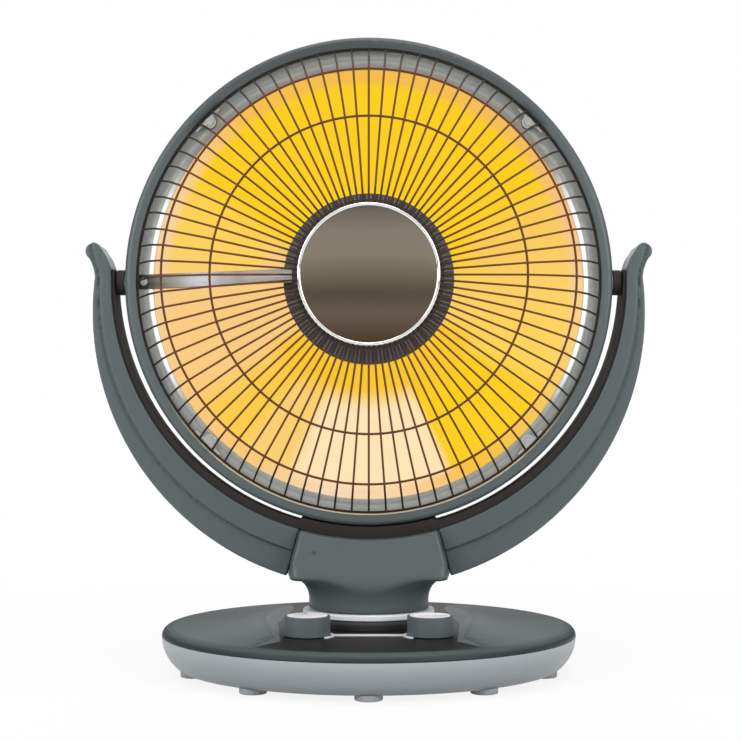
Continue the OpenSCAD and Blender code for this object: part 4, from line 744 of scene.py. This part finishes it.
rib_mesh.from_pydata(
    [(r * MM, -(FACE_F - 0.2) * MM, side * MM) for r, side in rib]
    + [(r * MM, -SHROUD_F * MM, side * 0.5 * MM) for r, side in rib], [],
    [(4, 5, 6, 7), (0, 1, 5, 4), (1, 2, 6, 5), (2, 3, 7, 6), (3, 0, 4, 7), (3, 2, 1, 0)])
ribs = link(bpy.data.objects.new("shroud_ribs", rib_mesh))
repeated(ribs, RIB_COUNT, rib_enamel_painted_lit, ["hub_shroud"], axis="y", centre=HEAD)
settle(shroud, dark_enamel, "hub_shroud")
dress(dark_enamel, "grille_hub")

# --- Lead conduit ---------------------------------------------------------------------
# A strip of rolled bright steel folded into a shallow channel. It covers the lamp's lead
# from the hoop to the middle and is screwed to the flange. Painted light and shade lie along
# it: a paler painted highlight part way out, and painted shade darkest near the screw.

bright_strip = surface("rolled_bright_steel", "#93928e", 0.38, metal=1.0, mottle=0.08, patch=9,
                       grain=0.4, relief=0.004)
# Painted light and shade along the strip: a highlight about 132 mm out, shade towards the hoop.
toned(bright_strip, [(60, "#85817d"), (112, "#7f7d7c"), (132, "#a3a3a6"), (148, "#77776f"),
                     (162, "#5c5b53"), (169, "#45443f")], axis_z=TILT_Z)
rounded("wire_conduit", bright_strip, radius=0.3)

# --- Guard ----------------------------------------------------------------------------
# Bronze-brown coated steel wire, with a redder tone and a faint glow painted on where it lies
# over the dish, painted light for the lamp's light on it: radial wires welded on two rings and
# a rim wire. Each wire kinks near the rim, runs in a shallow dome and ends under the centre
# disc.

WIRE_COUNT, WIRE_R, RING_WIRE_R = 84, 0.8, 0.9
RIM_WIRE_R, BEND_R, OUTER_RING_R, MIDDLE_RING_R, DISC_R = 179.8, 168, 158, 119, 53.6
RIM_WIRE_F, BEND_F, OUTER_RING_F, MIDDLE_RING_F, HUB_WIRE_F = 11.8, 37, 47.6, 58, 59
coated_wire = surface("bronze_coated_wire", "#2c2622", 0.5, metal=0.1, mottle=0.08, patch=5,
                      grain=0.4, relief=0.005, Specular_IOR_Level=0.3)
# Painted light: over the glowing dish the wire is painted redder and given a faint glow.
PAINTED_LIT_TONE, PAINTED_GLOW, PAINTED_GLOW_POWER = "#55301a", "#78390c", 0.17
tree = coated_wire.node_tree
shader = tree.nodes["Principled BSDF"]
reach = reach_from(tree, TILT_Z)
past_shroud = add(tree, "ShaderNodeMapRange", {"Value": reach,
                                               "From Min": (SHROUD_R - 1) * MM,
                                               "From Max": (SHROUD_R + 2) * MM})
short_of_rim = add(tree, "ShaderNodeMapRange", {"Value": reach,
                                                "From Min": OUTER_RING_R * MM,
                                                "From Max": (BEND_R - 1) * MM,
                                                "To Min": 1.0, "To Max": 0.0},
                   interpolation_type="SMOOTHSTEP")
warm = add(tree, "ShaderNodeMath", {0: short_of_rim.outputs[0], 1: past_shroud.outputs[0]},
           operation="MULTIPLY")
power = add(tree, "ShaderNodeMath", {0: warm.outputs[0], 1: PAINTED_GLOW_POWER},
            operation="MULTIPLY")
laid_over(coated_wire, warm.outputs[0], PAINTED_LIT_TONE)
tree.links.new(power.outputs[0], shader.inputs["Emission Strength"])
shader.inputs["Emission Color"].default_value = srgb(PAINTED_GLOW)


def wire_tree():
    """Geometry nodes that bend a path's corners and give it a round section."""
    tree = bpy.data.node_groups.new("bent_wire", "GeometryNodeTree")
    for name, kind in (("Geometry", "Geometry"), ("Wire radius", "Float"),
                       ("Bend radius", "Float"), ("Sides", "Int")):
        tree.interface.new_socket(name, in_out="INPUT", socket_type="NodeSocket" + kind)
    tree.interface.new_socket("Geometry", in_out="OUTPUT", socket_type="NodeSocketGeometry")
    given = add(tree, "NodeGroupInput").outputs
    path = add(tree, "GeometryNodeMeshToCurve", {"Mesh": given["Geometry"]})
    bent = add(tree, "GeometryNodeFilletCurve", {"Curve": path.outputs[0],
                                                 "Radius": given["Bend radius"]})
    if "Mode" in bent.inputs:  # later versions of Blender hold the mode in a socket
        bent.inputs["Mode"].default_value = "Poly"
    else:
        bent.mode = "POLY"
    bent.inputs["Count"].default_value = 4
    section = add(tree, "GeometryNodeCurvePrimitiveCircle", {"Resolution": given["Sides"],
                                                             "Radius": given["Wire radius"]})
    tube = add(tree, "GeometryNodeCurveToMesh", {"Curve": bent.outputs[0],
                                                 "Profile Curve": section.outputs[0],
                                                 "Fill Caps": True})
    smooth = add(tree, "GeometryNodeSetShadeSmooth", {"Geometry": tube.outputs[0]})
    add(tree, "NodeGroupOutput", {0: smooth.outputs[0]})
    return tree


RIM_LAP, HUB_DIP, HUB_LAP, KINK_R, WIRE_SIDES = 0.2, 0.4, 2.6, 3.0, 8
route = [(RIM_WIRE_R - RIM_LAP, RIM_WIRE_F + RING_WIRE_R + WIRE_R), (BEND_R, BEND_F),
         (OUTER_RING_R, OUTER_RING_F), (MIDDLE_RING_R, MIDDLE_RING_F),
         (DISC_R, HUB_WIRE_F - HUB_DIP), (DISC_R - HUB_LAP, HUB_WIRE_F)]
wire_mesh = bpy.data.meshes.new("guard_wires")
wire_mesh.from_pydata([(r * MM, -f * MM, 0) for r, f in route],
                      [(i, i + 1) for i in range(len(route) - 1)], [])
wires = link(bpy.data.objects.new("guard_wires", wire_mesh))
bend = wires.modifiers.new("bent_wire", "NODES")
bend.node_group = wire_tree()
tune(bend, Wire_radius=WIRE_R * MM, Bend_radius=KINK_R * MM, Sides=WIRE_SIDES)
repeated(wires, WIRE_COUNT, coated_wire, ["grille_wires"], axis="y", centre=HEAD)

WELD_GAP, OUTER_RING_IN, SECTION_SIDES = 0.12, 1.1, 10
UNDER = WIRE_R + RING_WIRE_R + WELD_GAP
RINGS = [(RIM_WIRE_R, RIM_WIRE_F), (OUTER_RING_R - OUTER_RING_IN, OUTER_RING_F - UNDER),
         (MIDDLE_RING_R, MIDDLE_RING_F - UNDER)]
turns = [2 * math.pi * k / SECTION_SIDES for k in range(SECTION_SIDES)]
rings = []
for r, f in RINGS:
    section = [(r + RING_WIRE_R * math.cos(a), f + RING_WIRE_R * math.sin(a)) for a in turns]
    rings.append(turned("guard_rings", section, around=HEAD, axis="y", steps=200, crease=80))
with bpy.context.temp_override(active_object=rings[0], selected_editable_objects=rings):
    bpy.ops.object.join()
settle(rings[0], coated_wire, "grille_rings")

# --- Clips and head screws ------------------------------------------------------------
# Four small bars pressed from bright steel hold the guard's rim wire, each with one shiny
# zinc-plated pan-head screw. More screws hold the conduit, the stem and the hub.

clip_steel = surface("pressed_bright_steel", "#cfd1d1", 0.3, metal=1.0, mottle=0.06, patch=5,
                     grain=0.3, relief=0.004)
rounded("guard_clips", clip_steel, radius=0.25)
dress(zinc, "head_screws")

# --- Centre disc ----------------------------------------------------------------------
# A shallow dome of pressed metal, plain and bare, with a chrome plate that mirrors the room
# softly and carries a painted reflection in its colour: dark reddish brown low down, palest a
# little above its middle and darker again at the top. It sits on a boss of the guard's hub,
# inside a bright chrome rim.

chrome_painted_reflection = surface("dark_chrome_plate", "#8b867c", 0.17, metal=1.0, mottle=0.03, patch=25,
                      grain=0.6, relief=0.001, gloss_vary=0.02)
# Painted reflection: dark reddish brown low on the disc, palest a little above its middle.
toned(chrome_painted_reflection, [
    (253, "#4e3a2d"), (262, "#584a3c"), (276, "#6b6153"), (290, "#7a7161"), (297, "#8c8473"),
    (304, "#968f7c"), (318, "#a39a8b"), (335, "#9b9488"), (350, "#817b71"), (355, "#6f6a61")])
bright_chrome = surface("bright_chrome_plate", "#eef0f1", 0.08, metal=1.0, mottle=0.02,
                        patch=20, grain=0.5, relief=0.001, gloss_vary=0.02)
DISC_RIM_W, DISC_SEAT, DISC_DOME, BOSS_F, BOSS_R = 3, 1.6, 3.4, 57.45, 6
DISC_EDGE, DISC_F = DISC_R - DISC_RIM_W, HUB_WIRE_F + WIRE_R + 0.2
GLOBE_R = (DISC_EDGE ** 2 + DISC_DOME ** 2) / (2 * DISC_DOME)
DOME_STEPS = 24


def dome_f(r):
    """How far forward the disc's domed face lies at a radius."""
    return DISC_F + DISC_SEAT + DISC_DOME - GLOBE_R + math.sqrt(GLOBE_R ** 2 - r ** 2)


inwards = [DISC_EDGE * i / DOME_STEPS for i in range(DOME_STEPS, -1, -1)]
disc = turned("domed_disc", (
    [(0, BOSS_F), (BOSS_R, BOSS_F), (BOSS_R, DISC_F), (DISC_EDGE, DISC_F)]
    + [(r, dome_f(r)) for r in inwards]), around=HEAD, axis="y", steps=180, crease=40)
settle(disc, chrome_painted_reflection, "centre_disc")
rounded("disc_rim", bright_chrome, crease=60)
